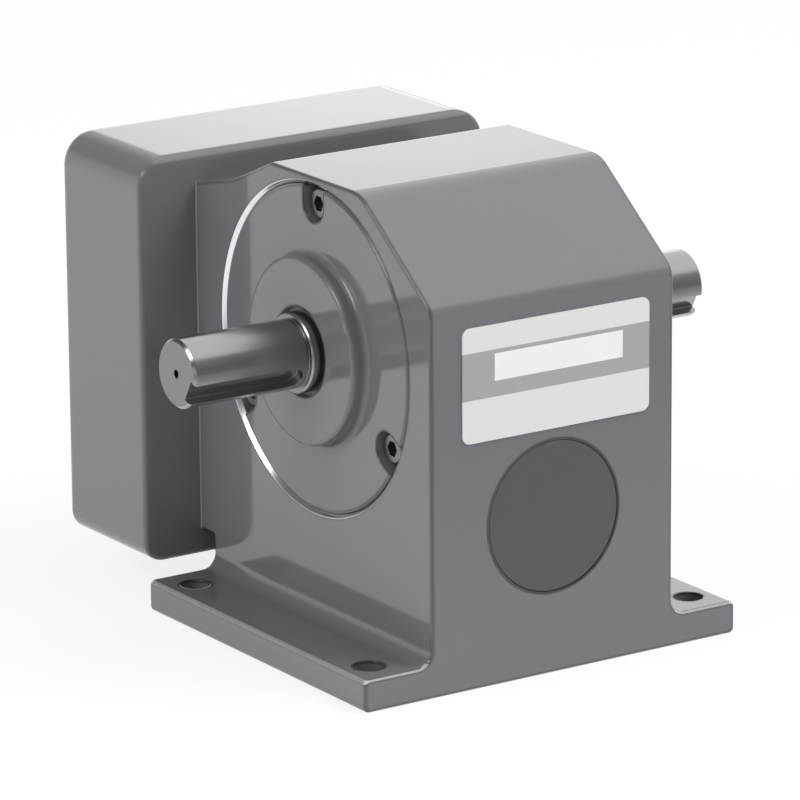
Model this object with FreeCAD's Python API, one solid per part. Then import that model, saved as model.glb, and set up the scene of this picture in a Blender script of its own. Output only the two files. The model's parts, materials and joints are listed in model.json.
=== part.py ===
import FreeCAD, Part
import math
import os
from collections import namedtuple

# Right-angle worm gearhead with a spur primary stage, all sizes in millimetres.
# The origin lies on the base plane, below the output shaft and at mid-width.
# X runs along the worm towards the nameplate, Y along the output shaft, Z up.

INCH = 25.4
V = FreeCAD.Vector
X_AXIS = V(1, 0, 0)
Y_AXIS = V(0, 1, 0)
Z_AXIS = V(0, 0, 1)

# Clearances, the reach of cutters past a face, and the length taken as nothing
PRESS_GAP = 0.02
RUN_GAP = 0.05
SLIDE_GAP = 0.15
SCREW_GAP = 0.1
OVERCUT = 10.0
TOLERANCE = 1e-6

# Socket cap screws
M5_SHANK = 5.0
M5_HEAD = 8.5
M5_HEIGHT = 5.0
M5_FLATS = 4.0
M6_SHANK = 6.0
M6_HEAD = 10.0
M6_HEIGHT = 6.0
M6_FLATS = 5.0
COVER_SCREW_LENGTH = 16.0
CASE_SCREW_LENGTH = 18.0
PLATE_SCREW_LENGTH = 14.0
HEX_SIDES = 6
HEAD_CHAMFER = 0.5
SOCKET_WEB = 2.3
TAP_EXTRA = 1.5

# Worm set
WORM_HEIGHT = 44.0
WORM_MODULE = INCH / 12
WORM_PITCH_DIA = 15.875
WHEEL_TEETH = 30
PRESSURE_ANGLE = math.radians(20.0)
WORM_DEDENDUM = 1.157
FLANK_THINNING = 0.08
FLANK_STEPS = 6
THREAD_LENGTH = 42.0
THREAD_BITE = 0.6
WHEEL_FACE = 14.0
WHEEL_TIP_RATIO = 1.3
WHEEL_HUB_DIA = 38.0
WHEEL_HUB_LENGTH = 24.0
WHEEL_WEB_RECESS = 3.0
WHEEL_RIM = 4.0
WHEEL_ROOM = 2.05
THROAT_CLEARANCE = 0.6

# Primary stage
SPUR_MODULE = INCH / 24
PINION_TEETH = 20
GEAR_TEETH = 40
SPUR_THINNING = 0.08
SPUR_DEDENDUM = 1.25
GEAR_FACE = 10.0
GEAR_HUB_DIA = 20.0
GEAR_WEB_RECESS = 2.5
GEAR_RIM = 3.5
GEAR_ROOM = 1.8
GEAR_SIDE_ROOM = 2.0
PINION_OVERLAP = 0.5

# Housing casting
HOUSING_WIDTH = 78.6
FACE_REACH = 56.2
NECK_REACH = 60.0
BODY_REACH = 52.5
ROOF_WALL = 2.51
ROOF_LEFT = 20.5
CHAMFER_REACH = 23.1
CHAMFER_DROP = 25.0
KNEE_REACH = 40.0
KNEE_DROP = 8.5
NECK_DROP = 13.4
NECK_BOTTOM = 18.4
FOOT_REACH = 21.3
FOOT_THICKNESS = 9.0
FOOT_EDGE_RADIUS = 1.5
FOOT_FILLET = 4.3
FACE_CORNER_RADIUS = 5.0
ROOF_CORNER_RADIUS = 11.0
KNEE_RADIUS = 1.5
EDGE_RADIUS = 0.8
NECK_EDGE_RADIUS = 0.6
BORE_CHAMFER = 1.2
WALL = 8.0
BEARING_WALL = 6.0
BEARING_LIP = 2.5
BEARING_LIP_WIDTH = 4.0

# Holes in the feet
FOOT_HOLE_DIA = 8.3
FOOT_HOLE_FACE_INSET = 10.4
FOOT_HOLE_LEFT_INSET = 11.0
FOOT_HOLE_SIDE_INSET = 8.1

# End covers
COVER_RECESS = 0.3
COVER_THICKNESS = 11.0
COVER_EDGE = 0.5
COVER_HUB_WALL = 4.5
COVER_SCREW_COUNT = 3
COVER_SCREW_INSET = 5.1
COVER_SCREW_ANGLE = 90.0
GASKET_THICKNESS = 0.5
SEAT_LAND = 0.95
SEAT_RING_DEPTH = 12.5
SEAT_RING_WALL = 6.0
BOSS_DIA = 52.0
BOSS_HEIGHT = 4.8
BOSS_EDGE = 1.2
BOSS_FILLET = 1.5
BOSS_LIP = 2.0
BOSS_LIP_GAP = 1.29
NOTCH_ROOM = 0.75
HEAD_SINK = 1.8

# Output shaft and its bearings
SHAFT_DIA = 0.75 * INCH
FRONT_SHAFT_LENGTH = 36.0
REAR_SHAFT_LENGTH = 37.5
JOURNAL_STEP = INCH / 16
JOURNAL_STANDOUT = 2.9
WHEEL_SEAT_STEP = INCH / 16
SHAFT_CHAMFER = 0.8
JOURNAL_CHAMFER = 0.4
CENTRE_HOLE_DIA = 2.4
CENTRE_HOLE_DEPTH = 4.0
KEYWAY_WIDTH = 6.35
KEYWAY_DEPTH = 2.925
KEYWAY_STOP = 1.5
KEYWAY_ANGLE = 119.0
WHEEL_KEY = 6.35
WHEEL_KEY_LENGTH = 20.0
SPACER_WALL = 3.0
OUTPUT_BEARING_OD = 1.875 * INCH
OUTPUT_BEARING_WIDTH = 0.5 * INCH

# Oil seals
OUTPUT_SEAL_OD = 35.0
OUTPUT_SEAL_WIDTH = 6.35
OUTPUT_SEAL_STEP = 0.4
INPUT_SEAL_OD = 30.0
INPUT_SEAL_WIDTH = 6.0
SEAL_SHELL = 1.3
SEAL_FACE = 1.9
SEAL_LIP = 2.2
SEAL_LIP_SHORT = 0.6

# Worm shaft and its bearings
WORM_BEARING_BORE = 15.0
WORM_BEARING_OD = 42.0
WORM_BEARING_WIDTH = 13.0
WORM_SHOULDER_STEP = 2.0
WORM_RELIEF = 3.0
GEAR_SEAT_STEP = 1.15
GEAR_KEY = 3.175
GEAR_KEY_LENGTH = 8.0
SHAFT_END_ROOM = 0.8
PLUG_THICKNESS = 6.0
PLUG_CHAMFER = 0.4
PLUG_ROOM = 0.2

# Retaining rings, in bores and on shafts
RING_THICKNESS = 1.6
RING_GROOVE = 1.2
RING_WIDTH = 3.2
RING_OPENING_ANGLE = 40.0
SNAP_RING_THICKNESS = 1.2
SNAP_RING_GROOVE = 0.7
SNAP_RING_WIDTH = 2.6

# Gear case
CASE_MARGIN = 0.75 * INCH
CASE_CROWN = 1.1
CASE_TOP_RADIUS = 9.0
CASE_BOTTOM_RADIUS = 6.0
CASE_EDGE_RADIUS = 0.8
CASE_TOP_CHAMFER = 1.8
CASE_CORE_RADIUS = 2.0
CASE_FRONT_WALL = 6.0
CASE_RIM = 5.0
CASE_LEDGE = 4.0
CASE_POST_DIA = 14.0
CASE_POST_INSET = 13.15
CASE_SHAFT_ROOM = 0.8
CASE_SCREW_SIDE_STEP = 14.0
CASE_SCREW_END_STEP = 6.0
SPIGOT_ROOM = 0.3

# Motor plate and input pinion
PLATE_THICKNESS = 10.0
PLATE_ROOM = 0.5
PLATE_BOSS_WALL = 3.6
PLATE_BOSS_LIP = 0.8
PLATE_LIP = 2.4
PLATE_LIP_WIDTH = 3.0
PLATE_HEAD_ROOM = 0.5
PILOT_DIA = 3.0 * INCH
PILOT_DEPTH = 3.2
MOTOR_BOLT_MARGIN = 0.375 * INCH
MOTOR_BOLT_COUNT = 4
MOTOR_BOLT_ANGLE = 45.0
MOTOR_HOLE_DIA = 0.25 * INCH
MOTOR_HOLE_DEPTH = 8.0
INPUT_BORE_DIA = 0.5 * INCH
INPUT_KEY = 3.175
INPUT_KEY_DEPTH = 1.6
PINION_BEARING_BORE = 20.0
PINION_BEARING_OD = 42.0
PINION_BEARING_WIDTH = 12.0
PINION_SHOULDER_STEP = 2.5
PINION_SHOULDER = 1.5
PINION_END_ROOM = 0.3

# Bearing section: race thickness as a share of the ring's section, shield thickness and land gap
RACE_RATIO = 0.3
SHIELD_THICKNESS = 1.2
SHIELD_GAP = 0.1

# Nameplate
NAMEPLATE_WIDTH = 60.5
NAMEPLATE_HEIGHT = 31.5
NAMEPLATE_GAUGE = 0.4
NAMEPLATE_CORNER = 2.3
NAMEPLATE_OFFSET = 0.8
NAMEPLATE_RISE = 3.4

# Screw sets: M5 in the covers and the motor plate, M6 in the gear case
CapScrew = namedtuple("CapScrew", "shank head height flats length")
COVER_SCREW = CapScrew(M5_SHANK, M5_HEAD, M5_HEIGHT, M5_FLATS, COVER_SCREW_LENGTH)
CASE_SCREW = CapScrew(M6_SHANK, M6_HEAD, M6_HEIGHT, M6_FLATS, CASE_SCREW_LENGTH)
PLATE_SCREW = CapScrew(M5_SHANK, M5_HEAD, M5_HEIGHT, M5_FLATS, PLATE_SCREW_LENGTH)

# Sizes that follow from the worm set and the primary stage
WORM_LEAD = math.pi * WORM_MODULE
WORM_TIP_R = WORM_PITCH_DIA / 2 + WORM_MODULE
WORM_ROOT_R = WORM_PITCH_DIA / 2 - WORM_DEDENDUM * WORM_MODULE
LEAD_SLOPE = WORM_LEAD / (math.pi * WORM_PITCH_DIA)
WHEEL_PITCH_DIA = WORM_MODULE * WHEEL_TEETH
WHEEL_TIP_R = WHEEL_PITCH_DIA / 2 + WHEEL_TIP_RATIO * WORM_MODULE
CENTRE_DISTANCE = (WHEEL_PITCH_DIA + WORM_PITCH_DIA) / 2
OUTPUT_HEIGHT = WORM_HEIGHT + CENTRE_DISTANCE
GEAR_TIP_R = SPUR_MODULE * (GEAR_TEETH / 2 + 1)
INPUT_HEIGHT = WORM_HEIGHT + SPUR_MODULE * (PINION_TEETH + GEAR_TEETH) / 2

# The wheel passes through the cover bores, and the casting closes round them
WHEEL_ROOM_R = WHEEL_TIP_R + WHEEL_ROOM
COVER_SCREW_R = WHEEL_ROOM_R + SEAT_LAND + COVER_SCREW.shank / 2
COVER_BORE_R = COVER_SCREW_R + COVER_SCREW_INSET
COVER_RIM_R = COVER_BORE_R - SLIDE_GAP
ROOF_HEIGHT = OUTPUT_HEIGHT + COVER_BORE_R + ROOF_WALL
CHAMFER_HEIGHT = ROOF_HEIGHT - CHAMFER_DROP
KNEE_HEIGHT = ROOF_HEIGHT - KNEE_DROP
NECK_TOP = ROOF_HEIGHT - NECK_DROP
HALF_WIDTH = HOUSING_WIDTH / 2
HALF_SPAN = HALF_WIDTH + FOOT_REACH

# Shaft steps and bearing seats
JOURNAL_DIA = SHAFT_DIA + 2 * JOURNAL_STEP
WHEEL_SEAT_DIA = JOURNAL_DIA + 2 * WHEEL_SEAT_STEP
KEYWAY_FLOOR = SHAFT_DIA / 2 - KEYWAY_DEPTH
GEAR_SEAT_R = WORM_BEARING_BORE / 2 - GEAR_SEAT_STEP
GEAR_GROOVE_R = GEAR_SEAT_R - SNAP_RING_GROOVE
HUB_R = PINION_BEARING_BORE / 2
HUB_GROOVE_R = HUB_R - SNAP_RING_GROOVE
OUTPUT_SEAT_R = OUTPUT_BEARING_OD / 2 + PRESS_GAP
WORM_SEAT_R = WORM_BEARING_OD / 2 + PRESS_GAP
PINION_SEAT_R = PINION_BEARING_OD / 2 + PRESS_GAP

# Stations out from mid-width along the output shaft
COVER_FACE = HALF_WIDTH - COVER_RECESS
COVER_BACK = COVER_FACE - COVER_THICKNESS
NOTCH_FLOOR = COVER_FACE - COVER_SCREW.height - HEAD_SINK
SEAT_FACE = COVER_BACK - GASKET_THICKNESS
SEAT_RING_BACK = SEAT_FACE - SEAT_RING_DEPTH
BOSS_FACE = COVER_FACE + BOSS_HEIGHT
SEAL_OUTER = BOSS_FACE - BOSS_LIP
SEAL_INNER = SEAL_OUTER - OUTPUT_SEAL_WIDTH
BEARING_OUTER = SEAL_INNER - OUTPUT_SEAL_STEP
BEARING_INNER = BEARING_OUTER - OUTPUT_BEARING_WIDTH
JOURNAL_REACH = BOSS_FACE + JOURNAL_STANDOUT
FRONT_SHAFT_REACH = JOURNAL_REACH + FRONT_SHAFT_LENGTH
REAR_SHAFT_REACH = JOURNAL_REACH + REAR_SHAFT_LENGTH

# Stations along the worm, from the nameplate face to the motor side
WORM_RING_OUTER = FACE_REACH - PLUG_THICKNESS - PLUG_ROOM
WORM_BEARING_OUTER = WORM_RING_OUTER - RING_THICKNESS
WORM_SHOULDER = WORM_BEARING_OUTER - WORM_BEARING_WIDTH
SPIGOT_END = -WORM_BEARING_OUTER - SPIGOT_ROOM
SPIGOT_SEAL_END = SPIGOT_END - INPUT_SEAL_WIDTH
CASE_INSIDE = -NECK_REACH - CASE_FRONT_WALL
GEAR_START = CASE_INSIDE - GEAR_SIDE_ROOM
GEAR_END = GEAR_START - GEAR_FACE
SNAP_RING_END = GEAR_END - SNAP_RING_THICKNESS
WORM_END = SNAP_RING_END - SHAFT_END_ROOM
PLATE_BOSS_NEAR = WORM_END - PLATE_ROOM
PLATE_RING_NEAR = PLATE_BOSS_NEAR - PLATE_BOSS_LIP
PINION_BEARING_NEAR = PLATE_RING_NEAR - RING_THICKNESS
PINION_BEARING_FAR = PINION_BEARING_NEAR - PINION_BEARING_WIDTH
HUB_RING_FAR = PINION_BEARING_FAR - SNAP_RING_THICKNESS
PILOT_FLOOR = PINION_BEARING_FAR - PLATE_LIP
CASE_FAR = PILOT_FLOOR - PILOT_DEPTH
PLATE_INSIDE = CASE_FAR + PLATE_THICKNESS
PLATE_SCREW_SEAT = CASE_FAR + PLATE_SCREW.height + PLATE_HEAD_ROOM
PINION_FAR = PILOT_FLOOR + PINION_END_ROOM
PINION_NEAR = GEAR_START + PINION_OVERLAP
TOOTH_END = GEAR_END - PINION_OVERLAP

# The case is as wide as the motor's pilot needs, a little higher, and clears the primary gear below
CASE_SIZE = PILOT_DIA + 2 * CASE_MARGIN
CASE_BOTTOM = WORM_HEIGHT - GEAR_TIP_R - GEAR_ROOM - CASE_LEDGE - CASE_RIM
CASE_TOP = CASE_BOTTOM + CASE_SIZE + CASE_CROWN
MOTOR_BOLT_R = PILOT_DIA / 2 + MOTOR_BOLT_MARGIN


def along_x(radius, start, end, y=0.0, z=0.0):
    """Cylinder along X between two stations."""
    low = min(start, end)
    return Part.makeCylinder(radius, abs(end - start), V(low, y, z), X_AXIS)


def along_y(radius, start, end, x=0.0, z=0.0):
    """Cylinder along Y between two stations."""
    low = min(start, end)
    return Part.makeCylinder(radius, abs(end - start), V(x, low, z), Y_AXIS)


def upright(radius, x, y, low, high):
    """Cylinder along Z between two heights."""
    return Part.makeCylinder(radius, high - low, V(x, y, low), Z_AXIS)


def block(x0, x1, y0, y1, z0, z1):
    """Box between two corners."""
    return Part.makeBox(x1 - x0, y1 - y0, z1 - z0, V(x0, y0, z0))


def turned_x(profile, z):
    """Solid turned about the X line at height z, from (station, radius) points."""
    points = [V(station, 0, z + radius) for station, radius in profile]
    face = Part.Face(Part.makePolygon(points + points[:1]))
    return face.revolve(V(0, 0, z), X_AXIS, 360)


def turned_y(profile, z):
    """Solid turned about the Y line at height z, from (station, radius) points."""
    points = [V(0, station, z + radius) for station, radius in profile]
    face = Part.Face(Part.makePolygon(points + points[:1]))
    return face.revolve(V(0, 0, z), Y_AXIS, 360)


def on_xz(y, z=0.0):
    """Placing function for an outline drawn in the X-Z plane at y, its origin at height z."""
    return lambda u, v: V(u, y, z + v)


def on_yz(x, z=0.0):
    """Placing function for an outline drawn in the Y-Z plane at x, its origin at height z."""
    return lambda u, v: V(x, u, z + v)


def rounded_face(corners, place):
    """Face with rounded corners, from (u, v, radius) points in order."""
    arrivals = []
    middles = []
    departures = []
    for index, (u, v, radius) in enumerate(corners):
        corner = V(u, v, 0)
        back = V(*corners[index - 1][:2], 0) - corner
        ahead = V(*corners[(index + 1) % len(corners)][:2], 0) - corner
        back.normalize()
        ahead.normalize()
        half = back.getAngle(ahead) / 2
        bisector = back + ahead
        bisector.normalize()
        arrivals.append(corner + back * (radius / math.tan(half)))
        departures.append(corner + ahead * (radius / math.tan(half)))
        middles.append(corner + bisector * (radius / math.sin(half) - radius))
    edges = []
    for index, (u, v, radius) in enumerate(corners):
        start = place(arrivals[index].x, arrivals[index].y)
        end = place(departures[index].x, departures[index].y)
        if radius > 0:
            middle = place(middles[index].x, middles[index].y)
            edges.append(Part.Arc(start, middle, end).toShape())
        following = arrivals[(index + 1) % len(corners)]
        edges.append(Part.LineSegment(end, place(following.x, following.y)).toShape())
    return Part.Face(Part.Wire(edges))


def inset(corners, distance):
    """Polygon moved inwards by a distance, from (u, v) points in anticlockwise order."""
    lines = []
    for index, (u, v) in enumerate(corners):
        after = corners[(index + 1) % len(corners)]
        run = V(after[0] - u, after[1] - v, 0)
        run.normalize()
        lines.append((V(u, v, 0) + V(-run.y, run.x, 0) * distance, run))
    moved = []
    for index, (point, run) in enumerate(lines):
        before, before_run = lines[index - 1]
        cross = before_run.x * run.y - before_run.y * run.x
        gap = point - before
        reach = (gap.x * run.y - gap.y * run.x) / cross
        spot = before + before_run * reach
        moved.append((spot.x, spot.y))
    return moved


def ring_of(count, radius, first):
    """Points (u, v) spread evenly on a circle, the first at an angle in degrees."""
    angles = [math.radians(first + 360.0 * index / count) for index in range(count)]
    return [(radius * math.cos(angle), radius * math.sin(angle)) for angle in angles]


def lies_at(low, high, value):
    """True when both ends of a span are at one value."""
    return abs(low - value) < TOLERANCE and abs(high - value) < TOLERANCE


def round_edge(shape, centre, radius):
    """The round edge of a shape with a given centre and radius."""
    for edge in shape.Edges:
        curve = edge.Curve
        if not isinstance(curve, Part.Circle) or abs(curve.Radius - radius) > TOLERANCE:
            continue
        if curve.Center.distanceToPoint(centre) < TOLERANCE:
            return edge
    raise ValueError("no round edge there")


def cap_screw(screw, seat, axis):
    """Socket cap screw: head seated at a point, shank running along an axis."""
    top = seat - axis * screw.height
    shank = Part.makeCylinder(screw.shank / 2, screw.length, seat, axis)
    head = Part.makeCylinder(screw.head / 2, screw.height, seat, -axis)
    head = head.makeChamfer(HEAD_CHAMFER, [round_edge(head, top, screw.head / 2)])
    across = Part.makeCircle(screw.flats / (2 * math.cos(math.pi / HEX_SIDES)), top, axis)
    corners = [across.valueAt(2 * math.pi * index / HEX_SIDES) for index in range(HEX_SIDES)]
    hexagon = Part.Face(Part.makePolygon(corners + corners[:1]))
    socket = hexagon.extrude(axis * (screw.height - SOCKET_WEB))
    return head.fuse(shank).removeSplitter().cut(socket)


def gear_wire(teeth, module, tip_r, root_r, thinning, first_tooth, place):
    """Closed outline of an involute gear, with one tooth centred at an angle in radians."""
    pitch_r = module * teeth / 2
    base_r = pitch_r * math.cos(PRESSURE_ANGLE)
    pitch_half = (math.pi * module / 2 - 2 * thinning) / (2 * pitch_r)

    def half_angle(radius):
        roll = math.acos(min(1.0, base_r / radius))
        return pitch_half + math.tan(PRESSURE_ANGLE) - PRESSURE_ANGLE - math.tan(roll) + roll

    def spot(radius, angle):
        return place(radius * math.cos(angle), radius * math.sin(angle))

    radii = [root_r + (tip_r - root_r) * step / FLANK_STEPS for step in range(FLANK_STEPS + 1)]
    pitch_angle = 2 * math.pi / teeth
    edges = []
    for tooth in range(teeth):
        middle = first_tooth + tooth * pitch_angle
        rise = Part.BSplineCurve()
        rise.interpolate([spot(radius, middle - half_angle(radius)) for radius in radii])
        fall = Part.BSplineCurve()
        fall.interpolate([spot(radius, middle + half_angle(radius)) for radius in reversed(radii)])
        tip_half = half_angle(tip_r)
        tip = Part.Arc(spot(tip_r, middle - tip_half), spot(tip_r, middle), spot(tip_r, middle + tip_half))
        root_start = middle + half_angle(root_r)
        root_end = middle + pitch_angle - half_angle(root_r)
        root_middle = (root_start + root_end) / 2
        root = Part.Arc(spot(root_r, root_start), spot(root_r, root_middle), spot(root_r, root_end))
        edges += [rise.toShape(), tip.toShape(), fall.toShape(), root.toShape()]
    return Part.Wire(edges)


def bearing(shaft_dia, outside, width, start, turned, z):
    """Shielded ball bearing as its outer race with both shields, and its inner race."""
    inner_r = shaft_dia / 2 + PRESS_GAP
    outer_r = outside / 2
    race = RACE_RATIO * (outer_r - inner_r)
    land_r = inner_r + race
    track_r = outer_r - race
    end = start + width
    shield_r = land_r + SHIELD_GAP
    profile = [
        (start, outer_r),
        (end, outer_r),
        (end, shield_r),
        (end - SHIELD_THICKNESS, shield_r),
        (end - SHIELD_THICKNESS, track_r),
        (start + SHIELD_THICKNESS, track_r),
        (start + SHIELD_THICKNESS, shield_r),
        (start, shield_r),
    ]
    inner = turned([(start, inner_r), (end, inner_r), (end, land_r), (start, land_r)], z)
    return turned(profile, z), inner


def lip_seal(shaft_r, outer_r, inner_station, outer_station, turned, z):
    """Oil seal: a closed outer face, a shell in its bore and a lip on the shaft, hollow on the oil side."""
    inward = math.copysign(1.0, inner_station - outer_station)
    lip_end = inner_station - inward * SEAL_LIP_SHORT
    floor = outer_station + inward * SEAL_FACE
    profile = [
        (inner_station, outer_r),
        (outer_station, outer_r),
        (outer_station, shaft_r + RUN_GAP),
        (lip_end, shaft_r + RUN_GAP),
        (lip_end, shaft_r + SEAL_LIP),
        (floor, shaft_r + SEAL_LIP),
        (floor, outer_r - SEAL_SHELL),
        (inner_station, outer_r - SEAL_SHELL),
    ]
    return turned(profile, z)


def housing_outline():
    """Corners of the casting seen from the front, anticlockwise, neck included."""
    return [
        (-NECK_REACH, 0.0),
        (FACE_REACH, 0.0),
        (FACE_REACH, CHAMFER_HEIGHT),
        (CHAMFER_REACH, ROOF_HEIGHT),
        (-ROOF_LEFT, ROOF_HEIGHT),
        (-KNEE_REACH, KNEE_HEIGHT),
        (-NECK_REACH, NECK_TOP),
    ]


def housing_blank():
    """Solid casting: side outline crossed with the footed end outline, edges rounded."""
    rounds = [0.0, 0.0, FACE_CORNER_RADIUS, ROOF_CORNER_RADIUS, KNEE_RADIUS, KNEE_RADIUS, 0.0]
    side = rounded_face([(u, v, r) for (u, v), r in zip(housing_outline(), rounds)], on_xz(-HALF_SPAN))
    side = side.extrude(V(0, 2 * HALF_SPAN, 0))
    end_outline = [
        (-HALF_SPAN, 0.0, FOOT_EDGE_RADIUS),
        (HALF_SPAN, 0.0, FOOT_EDGE_RADIUS),
        (HALF_SPAN, FOOT_THICKNESS, FOOT_EDGE_RADIUS),
        (HALF_WIDTH, FOOT_THICKNESS, FOOT_FILLET),
        (HALF_WIDTH, ROOF_HEIGHT + OVERCUT, 0.0),
        (-HALF_WIDTH, ROOF_HEIGHT + OVERCUT, 0.0),
        (-HALF_WIDTH, FOOT_THICKNESS, FOOT_FILLET),
        (-HALF_SPAN, FOOT_THICKNESS, FOOT_EDGE_RADIUS),
    ]
    footed = rounded_face(end_outline, on_yz(-NECK_REACH))
    footed = footed.extrude(V(NECK_REACH + FACE_REACH, 0, 0))
    across = HALF_SPAN + OVERCUT
    undercut = block(-NECK_REACH - OVERCUT, -BODY_REACH, -across, across, -OVERCUT, NECK_BOTTOM)
    blank = side.common(footed).cut(undercut).removeSplitter()
    blank = blank.makeFillet(EDGE_RADIUS, [edge for edge in blank.Edges if is_rounded_edge(edge)])
    boxes = [(edge, edge.BoundBox) for edge in blank.Edges]
    neck_rim = [edge for edge, box in boxes if lies_at(box.XMin, box.XMax, -NECK_REACH)]
    return blank.makeFillet(NECK_EDGE_RADIUS, neck_rim)


def is_rounded_edge(edge):
    """True for the casting's outer edges: both end outlines and the roof's front and back edges."""
    box = edge.BoundBox
    if lies_at(box.XMin, box.XMax, FACE_REACH):
        return box.ZMin < CHAMFER_HEIGHT - FACE_CORNER_RADIUS or box.YLength < HALF_WIDTH
    if lies_at(box.XMin, box.XMax, -BODY_REACH):
        return box.ZMin < NECK_BOTTOM - TOLERANCE
    on_side = lies_at(box.YMin, box.YMax, HALF_WIDTH) or lies_at(box.YMin, box.YMax, -HALF_WIDTH)
    return on_side and box.ZMax > NECK_BOTTOM + TOLERANCE and box.XMax > -NECK_REACH + TOLERANCE


def housing_cavity():
    """Room inside the casting, less the rings round the cover seats and the worm bearings."""
    slope = (KNEE_HEIGHT - NECK_TOP) / (NECK_REACH - KNEE_REACH)
    left_top = KNEE_HEIGHT - (BODY_REACH - KNEE_REACH) * slope
    body = [(-BODY_REACH, 0.0), *housing_outline()[1:6], (-BODY_REACH, left_top)]
    inside_y = HALF_WIDTH - WALL
    corners = [V(u, -inside_y, v) for u, v in inset(body, WALL)]
    cavity = Part.Face(Part.makePolygon(corners + corners[:1])).extrude(V(0, 2 * inside_y, 0))
    ring_r = COVER_BORE_R + SEAT_RING_WALL
    boss_r = WORM_BEARING_OD / 2 + BEARING_WALL
    boss_end = WORM_SHOULDER - BEARING_LIP
    for side in (-1, 1):
        cavity = cavity.cut(along_y(ring_r, side * SEAT_RING_BACK, side * HALF_WIDTH, z=OUTPUT_HEIGHT))
        cavity = cavity.cut(along_x(boss_r, side * boss_end, side * NECK_REACH, z=WORM_HEIGHT))
    return cavity


def make_housing():
    """Cast housing: hollow, with cover seats, worm bearing seats and drilled feet."""
    shape = housing_blank().cut(housing_cavity())
    shape = shape.cut(along_y(WHEEL_ROOM_R, -SEAT_FACE, SEAT_FACE, z=OUTPUT_HEIGHT))
    lip_r = WORM_BEARING_OD / 2 - BEARING_LIP_WIDTH
    cover_tap_r = COVER_SCREW.shank / 2 + PRESS_GAP
    cover_tap_end = NOTCH_FLOOR - COVER_SCREW.length - TAP_EXTRA
    for side in (-1, 1):
        outside = side * (HALF_WIDTH + OVERCUT)
        shape = shape.cut(along_y(COVER_BORE_R, side * SEAT_FACE, outside, z=OUTPUT_HEIGHT))
        shape = shape.cut(bore_countersink(side))
        reach = side * (NECK_REACH + OVERCUT)
        shape = shape.cut(along_x(WORM_SEAT_R, side * WORM_SHOULDER, reach, z=WORM_HEIGHT))
        shape = shape.cut(along_x(lip_r, 0, side * WORM_SHOULDER, z=WORM_HEIGHT))
        for x, z in ring_of(COVER_SCREW_COUNT, COVER_SCREW_R, COVER_SCREW_ANGLE):
            tap = along_y(cover_tap_r, side * SEAT_FACE, side * cover_tap_end, x=x, z=OUTPUT_HEIGHT + z)
            shape = shape.cut(tap)
    groove_r = WORM_SEAT_R + RING_GROOVE
    shape = shape.cut(along_x(groove_r, WORM_BEARING_OUTER, WORM_RING_OUTER, z=WORM_HEIGHT))
    case_tap_end = CASE_INSIDE + CASE_SCREW.length + TAP_EXTRA
    for y, z in case_screw_spots():
        shape = shape.cut(along_x(CASE_SCREW.shank / 2 + PRESS_GAP, -NECK_REACH, case_tap_end, y=y, z=z))
    side_hole = HALF_SPAN - FOOT_HOLE_SIDE_INSET
    for x in (FACE_REACH - FOOT_HOLE_FACE_INSET, -BODY_REACH + FOOT_HOLE_LEFT_INSET):
        for y in (-side_hole, side_hole):
            shape = shape.cut(upright(FOOT_HOLE_DIA / 2, x, y, -OVERCUT, FOOT_THICKNESS + OVERCUT))
    return shape


def case_screw_spots():
    """The (y, z) places of the screws into the housing's neck, each inwards of a corner post."""
    side = CASE_SIZE / 2 - CASE_POST_INSET - CASE_SCREW_SIDE_STEP
    rise = CASE_POST_INSET + CASE_SCREW_END_STEP
    return [(y, z) for y in (-side, side) for z in (CASE_BOTTOM + rise, CASE_TOP - rise)]


def bore_countersink(side):
    """Cutter for the bevelled mouth of one cover bore."""
    mouth = HALF_WIDTH + OVERCUT
    profile = [
        (HALF_WIDTH - BORE_CHAMFER, 0.0),
        (HALF_WIDTH - BORE_CHAMFER, COVER_BORE_R),
        (mouth, COVER_BORE_R + BORE_CHAMFER + OVERCUT),
        (mouth, 0.0),
    ]
    return turned_y([(side * station, radius) for station, radius in profile], OUTPUT_HEIGHT)


def make_cover(side):
    """End cover with its boss, bearing bore, seal bore and notched screw seats."""
    hub_r = OUTPUT_BEARING_OD / 2 + COVER_HUB_WALL
    boss_r = BOSS_DIA / 2
    lip_r = JOURNAL_DIA / 2 + BOSS_LIP_GAP
    seal_r = OUTPUT_SEAL_OD / 2 + PRESS_GAP
    profile = [
        (BEARING_INNER, OUTPUT_SEAT_R),
        (BEARING_INNER, hub_r),
        (COVER_BACK, hub_r),
        (COVER_BACK, COVER_RIM_R),
        (COVER_FACE - COVER_EDGE, COVER_RIM_R),
        (COVER_FACE, COVER_RIM_R - COVER_EDGE),
        (COVER_FACE, boss_r),
        (BOSS_FACE, boss_r),
        (BOSS_FACE, lip_r),
        (SEAL_OUTER, lip_r),
        (SEAL_OUTER, seal_r),
        (BEARING_OUTER, seal_r),
        (BEARING_OUTER, OUTPUT_SEAT_R),
    ]
    cover = turned_y([(side * station, radius) for station, radius in profile], OUTPUT_HEIGHT)
    root = round_edge(cover, V(0, side * COVER_FACE, OUTPUT_HEIGHT), boss_r)
    cover = cover.makeFillet(BOSS_FILLET, [root])
    rim = round_edge(cover, V(0, side * BOSS_FACE, OUTPUT_HEIGHT), boss_r)
    cover = cover.makeFillet(BOSS_EDGE, [rim])
    for index in range(COVER_SCREW_COUNT):
        cover = cover.cut(screw_notch(side, COVER_SCREW_ANGLE + 360.0 * index / COVER_SCREW_COUNT))
    return cover


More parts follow.
